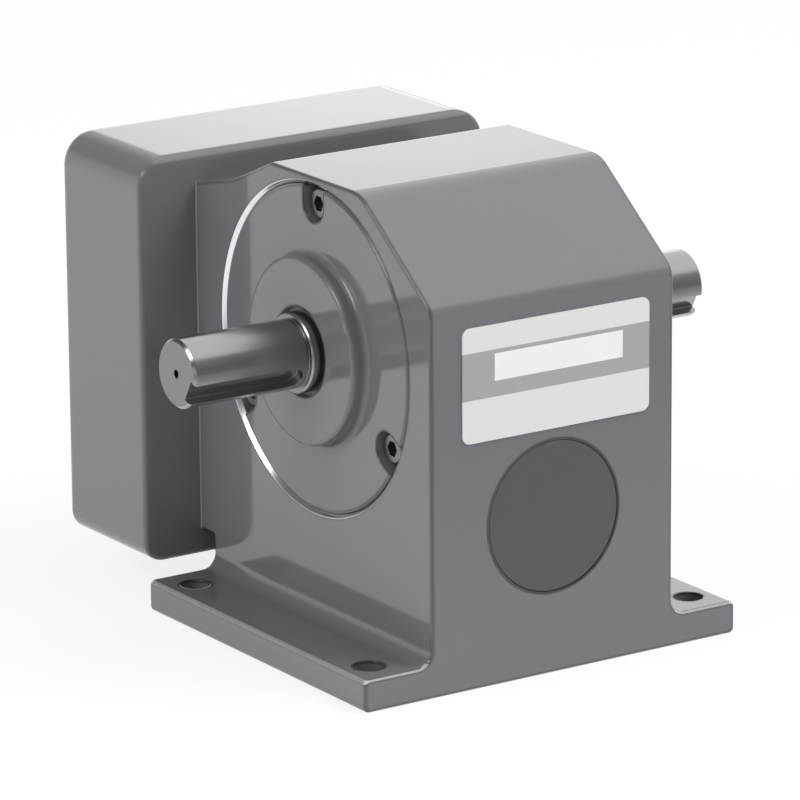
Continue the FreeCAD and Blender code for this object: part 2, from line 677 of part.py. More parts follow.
def screw_notch(side, angle):
    """Cutter for one screw seat of a cover: a notch open to the rim, and the screw's hole."""
    half = COVER_SCREW.head / 2 + NOTCH_ROOM
    hole_r = COVER_SCREW.shank / 2 + SCREW_GAP
    low, high = sorted((side * NOTCH_FLOOR, side * BOSS_FACE))
    notch = block(COVER_SCREW_R, COVER_BORE_R + OVERCUT, low, high, -half, half)
    notch = notch.fuse(along_y(half, low, high, x=COVER_SCREW_R))
    notch = notch.fuse(along_y(hole_r, side * COVER_BACK, side * NOTCH_FLOOR, x=COVER_SCREW_R))
    notch.rotate(V(0, 0, 0), Y_AXIS, -angle)
    notch.translate(V(0, 0, OUTPUT_HEIGHT))
    return notch


def make_cover_screws(side):
    """The cap screws of one end cover."""
    spots = ring_of(COVER_SCREW_COUNT, COVER_SCREW_R, COVER_SCREW_ANGLE)
    seats = [V(x, side * NOTCH_FLOOR, OUTPUT_HEIGHT + z) for x, z in spots]
    return Part.makeCompound([cap_screw(COVER_SCREW, seat, V(0, -side, 0)) for seat in seats])


def make_gasket(side):
    """Flat ring gasket between a cover and its seat, with screw holes."""
    low = side * SEAT_FACE
    high = side * COVER_BACK
    gasket = along_y(COVER_RIM_R, low, high, z=OUTPUT_HEIGHT)
    gasket = gasket.cut(along_y(WHEEL_ROOM_R, low, high, z=OUTPUT_HEIGHT))
    hole_r = COVER_SCREW.shank / 2 + SCREW_GAP
    for x, z in ring_of(COVER_SCREW_COUNT, COVER_SCREW_R, COVER_SCREW_ANGLE):
        gasket = gasket.cut(along_y(hole_r, low, high, x=x, z=OUTPUT_HEIGHT + z))
    return gasket


def make_output_shaft():
    """Stepped output shaft at its rest angle: a keyway in each end and a key seat for the wheel."""
    seat_r = WHEEL_SEAT_DIA / 2
    journal_r = JOURNAL_DIA / 2
    end_r = SHAFT_DIA / 2
    profile = [
        (-FRONT_SHAFT_REACH, 0.0),
        (-FRONT_SHAFT_REACH, end_r - SHAFT_CHAMFER),
        (-FRONT_SHAFT_REACH + SHAFT_CHAMFER, end_r),
        (-JOURNAL_REACH, end_r),
        (-JOURNAL_REACH, journal_r - JOURNAL_CHAMFER),
        (-JOURNAL_REACH + JOURNAL_CHAMFER, journal_r),
        (-BEARING_INNER, journal_r),
        (-BEARING_INNER, seat_r),
        (BEARING_INNER, seat_r),
        (BEARING_INNER, journal_r),
        (JOURNAL_REACH - JOURNAL_CHAMFER, journal_r),
        (JOURNAL_REACH, journal_r - JOURNAL_CHAMFER),
        (JOURNAL_REACH, end_r),
        (REAR_SHAFT_REACH - SHAFT_CHAMFER, end_r),
        (REAR_SHAFT_REACH, end_r - SHAFT_CHAMFER),
        (REAR_SHAFT_REACH, 0.0),
    ]
    shaft = turned_y(profile, OUTPUT_HEIGHT)
    for side, reach in ((-1, FRONT_SHAFT_REACH), (1, REAR_SHAFT_REACH)):
        shaft = shaft.cut(end_keyway(side, reach))
        hole_end = side * (reach - CENTRE_HOLE_DEPTH)
        shaft = shaft.cut(along_y(CENTRE_HOLE_DIA / 2, hole_end, side * reach, z=OUTPUT_HEIGHT))
    shaft.rotate(V(0, 0, OUTPUT_HEIGHT), Y_AXIS, KEYWAY_ANGLE)
    return shaft.cut(wheel_key_block(PRESS_GAP))


def end_keyway(side, reach):
    """Cutter for a keyway in the top of the shaft, open at the shaft's end and round where it stops."""
    half = KEYWAY_WIDTH / 2
    stop = side * (JOURNAL_REACH + KEYWAY_STOP + half)
    low, high = sorted((stop, side * (reach + OVERCUT)))
    floor = OUTPUT_HEIGHT + KEYWAY_FLOOR
    clear = OUTPUT_HEIGHT + SHAFT_DIA
    slot = block(-half, half, low, high, floor, clear)
    return slot.fuse(upright(half, 0, stop, floor, clear))


def wheel_key_block(gap):
    """Square key between shaft and wheel, grown by a gap on its sides and ends."""
    half = WHEEL_KEY / 2 + gap
    length = WHEEL_KEY_LENGTH / 2 + gap
    seat = OUTPUT_HEIGHT + WHEEL_SEAT_DIA / 2
    return block(-half, half, -length, length, seat - half, seat + half)


def make_worm_wheel():
    """Throated bronze worm wheel with helical involute teeth, web recesses and a keyed hub."""
    root_r = CENTRE_DISTANCE - WORM_TIP_R - (WORM_DEDENDUM - 1) * WORM_MODULE
    half_face = WHEEL_FACE / 2
    bottom_gap = -math.pi / 2 + math.pi / WHEEL_TEETH
    wires = []
    for station in (-half_face, half_face):
        first = bottom_gap - station * LEAD_SLOPE / (WHEEL_PITCH_DIA / 2)
        place = on_xz(station, OUTPUT_HEIGHT)
        wires.append(gear_wire(WHEEL_TEETH, WORM_MODULE, WHEEL_TIP_R, root_r, FLANK_THINNING, first, place))
    toothed = Part.makeLoft(wires, True, True)
    hub_half = WHEEL_HUB_LENGTH / 2
    hub = along_y(WHEEL_HUB_DIA / 2, -hub_half, hub_half, z=OUTPUT_HEIGHT)
    throat_r = WORM_ROOT_R + THROAT_CLEARANCE
    throat = Part.makeTorus(CENTRE_DISTANCE, throat_r, V(0, 0, OUTPUT_HEIGHT), Y_AXIS)
    wheel = toothed.cut(throat).fuse(hub)
    for side in (-1, 1):
        floor = side * (half_face - WHEEL_WEB_RECESS)
        recess = along_y(root_r - WHEEL_RIM, floor, side * half_face, z=OUTPUT_HEIGHT)
        wheel = wheel.cut(recess.cut(hub))
    wheel = wheel.cut(along_y(WHEEL_SEAT_DIA / 2 + PRESS_GAP, -hub_half, hub_half, z=OUTPUT_HEIGHT))
    half_key = WHEEL_KEY / 2 + PRESS_GAP
    seat = OUTPUT_HEIGHT + WHEEL_SEAT_DIA / 2
    return wheel.cut(block(-half_key, half_key, -hub_half, hub_half, OUTPUT_HEIGHT, seat + half_key))


def make_spacer(side):
    """Plain sleeve between the wheel's hub and a bearing's inner race."""
    bore_r = WHEEL_SEAT_DIA / 2 + PRESS_GAP
    start = side * WHEEL_HUB_LENGTH / 2
    sleeve = along_y(bore_r + SPACER_WALL, start, side * BEARING_INNER, z=OUTPUT_HEIGHT)
    return sleeve.cut(along_y(bore_r, start, side * BEARING_INNER, z=OUTPUT_HEIGHT))


def worm_thread():
    """One-start thread of the worm, its ridge crossing the top of the worm at the wheel's middle."""
    turns = 2 * math.ceil(THREAD_LENGTH / WORM_LEAD / 2) + 2
    height = turns * WORM_LEAD
    pitch_r = WORM_PITCH_DIA / 2
    low_r = WORM_ROOT_R - THREAD_BITE

    def half(radius):
        return WORM_LEAD / 4 - FLANK_THINNING - (radius - pitch_r) * math.tan(PRESSURE_ANGLE)

    corners = [
        V(low_r, 0, -half(low_r)),
        V(WORM_TIP_R, 0, -half(WORM_TIP_R)),
        V(WORM_TIP_R, 0, half(WORM_TIP_R)),
        V(low_r, 0, half(low_r)),
    ]
    path = Part.Wire(Part.makeHelix(WORM_LEAD, height, pitch_r))
    thread = path.makePipeShell([Part.makePolygon(corners + corners[:1])], True, True)
    thread.translate(V(0, 0, -height / 2))
    thread.rotate(V(0, 0, 0), Y_AXIS, 90)
    thread.rotate(V(0, 0, 0), X_AXIS, 180)
    thread.translate(V(0, 0, WORM_HEIGHT))
    half_length = THREAD_LENGTH / 2
    lead_in = WORM_TIP_R - WORM_ROOT_R
    blank = [
        (-half_length, 0.0),
        (-half_length, WORM_ROOT_R),
        (-half_length + lead_in, WORM_TIP_R + PRESS_GAP),
        (half_length - lead_in, WORM_TIP_R + PRESS_GAP),
        (half_length, WORM_ROOT_R),
        (half_length, 0.0),
    ]
    return thread.common(turned_x(blank, WORM_HEIGHT))


def make_worm_shaft():
    """Worm cut in one piece with its shaft: bearing seats, ring groove and gear seat."""
    seat_r = WORM_BEARING_BORE / 2
    shoulder_r = seat_r + WORM_SHOULDER_STEP
    neck = THREAD_LENGTH / 2 + WORM_RELIEF
    plug_end = WORM_RING_OUTER - SHAFT_END_ROOM
    profile = [
        (WORM_END, 0.0),
        (WORM_END, GEAR_SEAT_R),
        (SNAP_RING_END, GEAR_SEAT_R),
        (SNAP_RING_END, GEAR_GROOVE_R),
        (GEAR_END, GEAR_GROOVE_R),
        (GEAR_END, GEAR_SEAT_R),
        (GEAR_START, GEAR_SEAT_R),
        (GEAR_START, seat_r),
        (-WORM_SHOULDER, seat_r),
        (-WORM_SHOULDER, shoulder_r),
        (-neck, shoulder_r),
        (-neck, WORM_ROOT_R),
        (neck, WORM_ROOT_R),
        (neck, shoulder_r),
        (WORM_SHOULDER, shoulder_r),
        (WORM_SHOULDER, seat_r),
        (plug_end - SHAFT_CHAMFER, seat_r),
        (plug_end, seat_r - SHAFT_CHAMFER),
        (plug_end, 0.0),
    ]
    shaft = turned_x(profile, WORM_HEIGHT).fuse(worm_thread())
    return shaft.cut(gear_key_block(PRESS_GAP))


def gear_key_block(gap):
    """Square key between worm shaft and primary gear, grown by a gap on its sides and ends."""
    half = GEAR_KEY / 2 + gap
    middle = (GEAR_START + GEAR_END) / 2
    length = GEAR_KEY_LENGTH / 2 + gap
    seat = WORM_HEIGHT + GEAR_SEAT_R
    return block(middle - length, middle + length, -half, half, seat - half, seat + half)


def spur(teeth, start, end, z, first_tooth):
    """Straight-toothed gear along X."""
    tip_r = SPUR_MODULE * (teeth / 2 + 1)
    root_r = SPUR_MODULE * (teeth / 2 - SPUR_DEDENDUM)
    wire = gear_wire(teeth, SPUR_MODULE, tip_r, root_r, SPUR_THINNING, first_tooth, on_yz(end, z))
    return Part.Face(wire).extrude(V(start - end, 0, 0))


def make_primary_gear():
    """Primary gear on the worm shaft, a tooth pointing at the pinion."""
    gear = spur(GEAR_TEETH, GEAR_START, GEAR_END, WORM_HEIGHT, math.pi / 2)
    root_r = SPUR_MODULE * (GEAR_TEETH / 2 - SPUR_DEDENDUM)
    hub = along_x(GEAR_HUB_DIA / 2, GEAR_START, GEAR_END, z=WORM_HEIGHT)
    for face, floor in ((GEAR_START, GEAR_START - GEAR_WEB_RECESS), (GEAR_END, GEAR_END + GEAR_WEB_RECESS)):
        gear = gear.cut(along_x(root_r - GEAR_RIM, face, floor, z=WORM_HEIGHT).cut(hub))
    gear = gear.cut(along_x(GEAR_SEAT_R + PRESS_GAP, GEAR_END, GEAR_START, z=WORM_HEIGHT))
    half = GEAR_KEY / 2 + PRESS_GAP
    return gear.cut(block(GEAR_END, GEAR_START, -half, half, WORM_HEIGHT, WORM_HEIGHT + GEAR_SEAT_R + half))


def make_input_pinion():
    """Hollow input pinion: bored and keyed for the motor shaft, carried on its hub."""
    root_r = SPUR_MODULE * (PINION_TEETH / 2 - SPUR_DEDENDUM)
    shoulder_r = HUB_R + PINION_SHOULDER_STEP
    shoulder_near = PINION_BEARING_NEAR + PINION_SHOULDER
    gap_below = -math.pi / 2 + math.pi / PINION_TEETH
    teeth = spur(PINION_TEETH, PINION_NEAR, TOOTH_END, INPUT_HEIGHT, gap_below)
    profile = [
        (PINION_FAR, 0.0),
        (PINION_FAR, HUB_R),
        (HUB_RING_FAR, HUB_R),
        (HUB_RING_FAR, HUB_GROOVE_R),
        (PINION_BEARING_FAR, HUB_GROOVE_R),
        (PINION_BEARING_FAR, HUB_R),
        (PINION_BEARING_NEAR, HUB_R),
        (PINION_BEARING_NEAR, shoulder_r),
        (shoulder_near, shoulder_r),
        (shoulder_near, root_r),
        (TOOTH_END, root_r),
        (TOOTH_END, 0.0),
    ]
    pinion = teeth.fuse(turned_x(profile, INPUT_HEIGHT)).removeSplitter()
    pinion = pinion.cut(along_x(INPUT_BORE_DIA / 2, PINION_FAR, PINION_NEAR, z=INPUT_HEIGHT))
    half = INPUT_KEY / 2
    top = INPUT_HEIGHT + INPUT_BORE_DIA / 2 + INPUT_KEY_DEPTH
    return pinion.cut(block(PINION_FAR, PINION_NEAR, -half, half, INPUT_HEIGHT, top))


def snap_ring(near, far, groove_r, z):
    """External retaining ring in a shaft groove, open at the bottom."""
    outer_r = groove_r + SNAP_RING_WIDTH
    ring = along_x(outer_r, far, near, z=z).cut(along_x(groove_r + PRESS_GAP, far, near, z=z))
    half = groove_r / 2
    return ring.cut(block(far, near, -half, half, z - outer_r, z))


def bore_ring(start, end, bore_r, z):
    """Internal retaining ring in a bore groove, open at the bottom."""
    outer_r = bore_r + RING_GROOVE - PRESS_GAP
    ring = along_x(outer_r, start, end, z=z).cut(along_x(bore_r + RING_GROOVE - RING_WIDTH, start, end, z=z))
    half = math.sin(math.radians(RING_OPENING_ANGLE / 2)) * bore_r
    return ring.cut(block(start, end, -half, half, z - outer_r, z))


def make_bore_plug():
    """Plug that closes the worm bearing's bore, flush with the nameplate face."""
    radius = WORM_BEARING_OD / 2
    inside = FACE_REACH - PLUG_THICKNESS
    profile = [
        (inside, 0.0),
        (inside, radius),
        (FACE_REACH - PLUG_CHAMFER, radius),
        (FACE_REACH, radius - PLUG_CHAMFER),
        (FACE_REACH, 0.0),
    ]
    return turned_x(profile, WORM_HEIGHT)


def case_outline(shrink):
    """Corners of the gear case seen along X, moved inwards by a distance."""
    half = CASE_SIZE / 2 - shrink
    low = CASE_BOTTOM + shrink
    high = CASE_TOP - shrink
    bottom_r = max(CASE_BOTTOM_RADIUS - shrink, CASE_CORE_RADIUS)
    top_r = max(CASE_TOP_RADIUS - shrink, CASE_CORE_RADIUS)
    return [(-half, low, bottom_r), (half, low, bottom_r), (half, high, top_r), (-half, high, top_r)]


def post_spots():
    """The (y, z) places of the posts and screws that hold the motor plate."""
    side = CASE_SIZE / 2 - CASE_POST_INSET
    heights = (CASE_BOTTOM + CASE_POST_INSET, CASE_TOP - CASE_POST_INSET)
    return [(y, z) for y in (-side, side) for z in heights]


def case_bevel():
    """Cutter for the bevel along the case's top edge, next to the housing."""
    end = CASE_SIZE / 2 + OVERCUT
    depth = CASE_TOP_CHAMFER + OVERCUT
    near = -NECK_REACH + OVERCUT
    high = CASE_TOP + OVERCUT
    corners = [V(-NECK_REACH - depth, -end, high), V(near, -end, CASE_TOP - depth), V(near, -end, high)]
    return Part.Face(Part.makePolygon(corners + corners[:1])).extrude(V(0, 2 * end, 0))


def make_gear_case():
    """Cast gear case: rounded box open at the motor side, with a spigot into the housing."""
    case = rounded_face(case_outline(0.0), on_yz(CASE_FAR)).extrude(V(-NECK_REACH - CASE_FAR, 0, 0))
    rims = [edge for edge in case.Edges if edge.BoundBox.XLength < TOLERANCE]
    case = case.makeFillet(CASE_EDGE_RADIUS, rims).cut(case_bevel())
    pocket = rounded_face(case_outline(CASE_RIM), on_yz(CASE_FAR)).extrude(V(PLATE_THICKNESS, 0, 0))
    room = rounded_face(case_outline(CASE_RIM + CASE_LEDGE), on_yz(PLATE_INSIDE))
    room = room.extrude(V(CASE_INSIDE - PLATE_INSIDE, 0, 0))
    for y, z in post_spots():
        room = room.cut(along_x(CASE_POST_DIA / 2, PLATE_INSIDE, CASE_INSIDE, y=y, z=z))
    case = case.cut(pocket).cut(room)
    case = case.fuse(along_x(WORM_BEARING_OD / 2 - PRESS_GAP, CASE_INSIDE, SPIGOT_END, z=WORM_HEIGHT))
    case = case.cut(along_x(INPUT_SEAL_OD / 2 + PRESS_GAP, SPIGOT_SEAL_END, SPIGOT_END, z=WORM_HEIGHT))
    shaft_hole_r = WORM_BEARING_BORE / 2 + CASE_SHAFT_ROOM
    case = case.cut(along_x(shaft_hole_r, CASE_INSIDE, SPIGOT_SEAL_END, z=WORM_HEIGHT))
    for y, z in case_screw_spots():
        case = case.cut(along_x(CASE_SCREW.shank / 2 + SCREW_GAP, CASE_INSIDE, -NECK_REACH, y=y, z=z))
    tap_end = PLATE_SCREW_SEAT + PLATE_SCREW.length + TAP_EXTRA
    for y, z in post_spots():
        case = case.cut(along_x(PLATE_SCREW.shank / 2 + PRESS_GAP, PLATE_INSIDE, tap_end, y=y, z=z))
    return case.removeSplitter()


def make_motor_plate():
    """Motor plate set into the case: pilot, bolt circle, bearing boss and counterbores."""
    face = rounded_face(case_outline(CASE_RIM + SLIDE_GAP), on_yz(CASE_FAR))
    plate = face.extrude(V(PLATE_THICKNESS, 0, 0))
    boss_r = PINION_BEARING_OD / 2 + PLATE_BOSS_WALL
    plate = plate.fuse(along_x(boss_r, PILOT_FLOOR, PLATE_BOSS_NEAR, z=INPUT_HEIGHT))
    plate = plate.cut(along_x(PILOT_DIA / 2, CASE_FAR, PILOT_FLOOR, z=INPUT_HEIGHT))
    plate = plate.cut(along_x(PINION_SEAT_R, PINION_BEARING_FAR, PLATE_BOSS_NEAR, z=INPUT_HEIGHT))
    lip_r = PINION_BEARING_OD / 2 - PLATE_LIP_WIDTH
    plate = plate.cut(along_x(lip_r, PILOT_FLOOR, PINION_BEARING_FAR, z=INPUT_HEIGHT))
    groove_r = PINION_SEAT_R + RING_GROOVE
    plate = plate.cut(along_x(groove_r, PINION_BEARING_NEAR, PLATE_RING_NEAR, z=INPUT_HEIGHT))
    hole_end = CASE_FAR + MOTOR_HOLE_DEPTH
    for y, z in ring_of(MOTOR_BOLT_COUNT, MOTOR_BOLT_R, MOTOR_BOLT_ANGLE):
        plate = plate.cut(along_x(MOTOR_HOLE_DIA / 2, CASE_FAR, hole_end, y=y, z=INPUT_HEIGHT + z))
    head_r = PLATE_SCREW.head / 2 + PLATE_HEAD_ROOM
    hole_r = PLATE_SCREW.shank / 2 + SCREW_GAP
    for y, z in post_spots():
        plate = plate.cut(along_x(head_r, CASE_FAR, PLATE_SCREW_SEAT, y=y, z=z))
        plate = plate.cut(along_x(hole_r, PLATE_SCREW_SEAT, PLATE_INSIDE, y=y, z=z))
    return plate.removeSplitter()


def make_nameplate():
    """Bare nameplate on the end face, above the bore plug."""
    left = NAMEPLATE_OFFSET - NAMEPLATE_WIDTH / 2
    right = NAMEPLATE_OFFSET + NAMEPLATE_WIDTH / 2
    low = WORM_HEIGHT + WORM_BEARING_OD / 2 + NAMEPLATE_RISE
    high = low + NAMEPLATE_HEIGHT
    corners = [(y, z, NAMEPLATE_CORNER) for y, z in ((left, low), (right, low), (right, high), (left, high))]
    return rounded_face(corners, on_yz(FACE_REACH)).extrude(V(NAMEPLATE_GAUGE, 0, 0))


def make_output_bearing(start):
    """Races of one output shaft bearing, from its lower station."""
    return bearing(JOURNAL_DIA, OUTPUT_BEARING_OD, OUTPUT_BEARING_WIDTH, start, turned_y, OUTPUT_HEIGHT)


def make_worm_bearing(start):
    """Races of one worm bearing, from its lower station."""
    return bearing(WORM_BEARING_BORE, WORM_BEARING_OD, WORM_BEARING_WIDTH, start, turned_x, WORM_HEIGHT)


def make_pinion_bearing(start):
    """Races of the pinion's bearing, from its lower station."""
    return bearing(
        PINION_BEARING_BORE, PINION_BEARING_OD, PINION_BEARING_WIDTH, start, turned_x, INPUT_HEIGHT
    )


def make_output_seal(side):
    """Oil seal in one end cover."""
    inner = side * SEAL_INNER
    outer = side * SEAL_OUTER
    return lip_seal(JOURNAL_DIA / 2, OUTPUT_SEAL_OD / 2, inner, outer, turned_y, OUTPUT_HEIGHT)


def make_worm_seal():
    """Oil seal in the case's spigot, open towards the worm bearing."""
    shaft_r = WORM_BEARING_BORE / 2
    return lip_seal(shaft_r, INPUT_SEAL_OD / 2, SPIGOT_END, SPIGOT_SEAL_END, turned_x, WORM_HEIGHT)


def make_case_screws():
    """The cap screws from inside the case into the housing's neck."""
    seats = [V(CASE_INSIDE, y, z) for y, z in case_screw_spots()]
    return Part.makeCompound([cap_screw(CASE_SCREW, seat, X_AXIS) for seat in seats])


def make_plate_screws():
    """The cap screws in the motor plate's corners."""
    seats = [V(PLATE_SCREW_SEAT, y, z) for y, z in post_spots()]
    return Part.makeCompound([cap_screw(PLATE_SCREW, seat, X_AXIS) for seat in seats])


def make_parts():
    """Every piece of the gearhead by name."""
    front_outer, front_inner = make_output_bearing(-BEARING_OUTER)
    rear_outer, rear_inner = make_output_bearing(BEARING_INNER)
    plug_outer, plug_inner = make_worm_bearing(WORM_SHOULDER)
    drive_outer, drive_inner = make_worm_bearing(-WORM_BEARING_OUTER)
    pinion_outer, pinion_inner = make_pinion_bearing(PINION_BEARING_FAR)
    return {
        "housing": make_housing(),
        "front_cover": make_cover(-1),
        "rear_cover": make_cover(1),
        "front_cover_screws": make_cover_screws(-1),
        "rear_cover_screws": make_cover_screws(1),
        "front_cover_gasket": make_gasket(-1),
        "rear_cover_gasket": make_gasket(1),
        "front_oil_seal": make_output_seal(-1),
        "rear_oil_seal": make_output_seal(1),
        "front_bearing_outer_race": front_outer,
        "front_bearing_inner_race": front_inner,
        "rear_bearing_outer_race": rear_outer,
        "rear_bearing_inner_race": rear_inner,
        "output_shaft": make_output_shaft(),
        "worm_wheel": make_worm_wheel(),
        "wheel_key": wheel_key_block(0.0),
        "front_wheel_spacer": make_spacer(-1),
        "rear_wheel_spacer": make_spacer(1),
        "worm_shaft": make_worm_shaft(),
        "plug_end_bearing_outer_race": plug_outer,
        "plug_end_bearing_inner_race": plug_inner,
        "drive_end_bearing_outer_race": drive_outer,
        "drive_end_bearing_inner_race": drive_inner,
        "worm_bearing_retaining_ring": bore_ring(
            WORM_BEARING_OUTER, WORM_RING_OUTER, WORM_SEAT_R, WORM_HEIGHT
        ),
        "bore_plug": make_bore_plug(),
        "worm_shaft_seal": make_worm_seal(),
        "gear_case": make_gear_case(),
        "case_screws": make_case_screws(),
        "motor_plate": make_motor_plate(),
        "plate_screws": make_plate_screws(),
        "primary_gear": make_primary_gear(),
        "primary_gear_key": gear_key_block(0.0),
        "primary_gear_retaining_ring": snap_ring(GEAR_END, SNAP_RING_END, GEAR_GROOVE_R, WORM_HEIGHT),
        "input_pinion": make_input_pinion(),
        "pinion_bearing_outer_race": pinion_outer,
        "pinion_bearing_inner_race": pinion_inner,
        "pinion_retaining_ring": snap_ring(PINION_BEARING_FAR, HUB_RING_FAR, HUB_GROOVE_R, INPUT_HEIGHT),
        "pinion_bearing_retaining_ring": bore_ring(
            PINION_BEARING_NEAR, PLATE_RING_NEAR, PINION_SEAT_R, INPUT_HEIGHT
        ),
        "nameplate": make_nameplate(),
    }


os.makedirs("parts", exist_ok=True)
for name, shape in make_parts().items():
    shape.exportStep("parts/" + name + ".step")
    print(name, len(shape.Solids), round(shape.Volume, 1), shape.isValid())
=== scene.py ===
"""Studio scene of a right-angle worm gearhead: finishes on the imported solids, soft light and a camera."""

from __future__ import annotations

import json
import logging
import math
from dataclasses import dataclass, replace
from enum import Enum
from typing import Any

import bpy
from mathutils import Matrix, Vector


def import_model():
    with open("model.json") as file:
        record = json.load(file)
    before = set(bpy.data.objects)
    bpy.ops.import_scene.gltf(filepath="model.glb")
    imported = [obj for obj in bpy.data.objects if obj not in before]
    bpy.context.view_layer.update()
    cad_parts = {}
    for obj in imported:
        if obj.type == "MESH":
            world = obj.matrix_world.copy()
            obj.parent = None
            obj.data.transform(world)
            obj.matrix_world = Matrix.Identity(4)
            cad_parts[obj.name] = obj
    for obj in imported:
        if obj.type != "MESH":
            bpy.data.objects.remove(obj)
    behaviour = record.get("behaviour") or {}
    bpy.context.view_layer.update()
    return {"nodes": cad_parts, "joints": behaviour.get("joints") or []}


LOG = logging.getLogger("gearhead")
MM = 0.001

# Numbers of a Mix node's two inputs and its output, for colours and for plain values
COLOUR_A, COLOUR_B, COLOUR_OUT = 6, 7, 2
VALUE_A, VALUE_B, VALUE_OUT = 2, 3, 0

BLACK = (0.0, 0.0, 0.0, 1.0)
WHITE = (1.0, 1.0, 1.0, 1.0)

# Rays that feel for an edge from each point of a surface
EDGE_RAYS = 6

# Turn that stretches the gloss of a turned part along its axis and not round it
QUARTER_TURN = 0.25

# Middle of a lamp's cloth, and what turns a distance from there into half-widths
CLOTH_MIDDLE = (0.5, 0.5, 0.0)
HALF_WIDTHS = (2.0, 2.0, 0.0)


class Axis(Enum):
    """Direction of a shaft line."""

    X = (1.0, 0.0, 0.0)
    Y = (0.0, 1.0, 0.0)


def srgb(code: str) -> tuple[float, float, float, float]:
    """Turns an sRGB hex value into a linear colour.

    Args:
        code: six hex digits after a hash sign.

    Returns:
        Linear red, green, blue and an alpha of one.
    """
    parts = [int(code[place : place + 2], 16) / 255 for place in (1, 3, 5)]
    linear = [part / 12.92 if part <= 0.04045 else ((part + 0.055) / 1.055) ** 2.4 for part in parts]
    return (linear[0], linear[1], linear[2], 1.0)


def pattern_scale(width_mm: float) -> float:
    """Texture scale that gives a pattern a real width in millimetres."""
    return 1.0 / (width_mm * MM)


def add_node(
    tree: bpy.types.NodeTree,
    kind: str,
    settings: dict[str | int, Any] | None = None,
    links: dict[str | int, bpy.types.NodeSocket] | None = None,
) -> bpy.types.Node:
    """Adds a node with its settings and links.

    Args:
        tree: node tree that takes the node.
        kind: Blender's name for the kind of node.
        settings: values by property name, input name or input number.
        links: sockets to join, by input name or input number.

    Returns:
        The new node.
    """
    node = tree.nodes.new(kind)
    for name, value in (settings or {}).items():
        if isinstance(name, str) and hasattr(node, name):
            setattr(node, name, value)
        else:
            node.inputs[name].default_value = value
    for name, socket in (links or {}).items():
        tree.links.new(socket, node.inputs[name])
    return node


@dataclass(frozen=True)
class Finish:
    """A surface finish, which makes one material.

    Attributes:
        name: the material's name.
        colour: sRGB hex of the body colour.
        roughness: mean roughness of the surface.
        metallic: one for bare metal.
        ior: index of refraction of a coat or a plastic.
        gloss_spread: share by which the roughness rises and falls about its mean.
    """

    name: str
    colour: str
    roughness: float
    metallic: float = 0.0
    ior: float = 1.5
    gloss_spread: float = 0.15

    def material(self) -> bpy.types.Material:
        """Makes the material on first use.

        Returns:
            The finish's material.
        """
        made = bpy.data.materials.get(self.name)
        if made is not None:
            return made
        made = bpy.data.materials.new(self.name)
        made.use_nodes = True
        tree = made.node_tree
        tree.nodes.clear()
        settings = {
            "Base Color": srgb(self.colour),
            "Roughness": self.roughness,
            "Metallic": self.metallic,
            "IOR": self.ior,
        }
        shader = add_node(tree, "ShaderNodeBsdfPrincipled", settings)
        add_node(tree, "ShaderNodeOutputMaterial", links={"Surface": shader.outputs["BSDF"]})
        self.work(tree, shader)
        return made

    def work(self, tree: bpy.types.NodeTree, shader: bpy.types.Node) -> None:
        """Adds the finish's own texture to its shader.

        Args:
            tree: the material's nodes.
            shader: its surface shader.
        """
        raise NotImplementedError

    def vary_gloss(
        self,
        tree: bpy.types.NodeTree,
        shader: bpy.types.Node,
        pattern: bpy.types.NodeSocket,
        span: tuple[float, float] = (0.0, 1.0),
    ) -> None:
        """Lets the roughness follow a pattern.

        Args:
            tree: the material's nodes.
            shader: its surface shader.
            pattern: socket of the pattern.
            span: values of the pattern at the smoothest and the roughest point.
        """
        smoothest, roughest = span
        settings = {
            "From Min": smoothest,
            "From Max": roughest,
            "To Min": self.roughness * (1.0 - self.gloss_spread),
            "To Max": self.roughness * (1.0 + self.gloss_spread),
        }
        gloss = add_node(tree, "ShaderNodeMapRange", settings, {"Value": pattern})
        tree.links.new(gloss.outputs["Result"], shader.inputs["Roughness"])

    def raise_relief(
        self,
        tree: bpy.types.NodeTree,
        shader: bpy.types.Node,
        pattern: bpy.types.NodeSocket,
        depth_mm: float,
        edge_mm: float,
    ) -> None:
        """Raises a pattern in fine relief, and rounds the edges.

        Args:
            tree: the material's nodes.
            shader: its surface shader.
            pattern: socket of the pattern.
            depth_mm: depth of the relief.
            edge_mm: radius of the edges.
        """
        edge = add_node(tree, "ShaderNodeBevel", {"samples": EDGE_RAYS, "Radius": edge_mm * MM})
        bump = add_node(
            tree,
            "ShaderNodeBump",
            {"Distance": depth_mm * MM},
            {"Height": pattern, "Normal": edge.outputs["Normal"]},
        )
        tree.links.new(bump.outputs["Normal"], shader.inputs["Normal"])

    def dress(self, *nodes: bpy.types.Object) -> None:
        """Gives objects this finish in place of what they had.

        Args:
            nodes: objects to dress.
        """
        for node in nodes:
            node.data.materials.clear()
            node.data.materials.append(self.material())
            LOG.info("%s: %s", node.name, self.name)


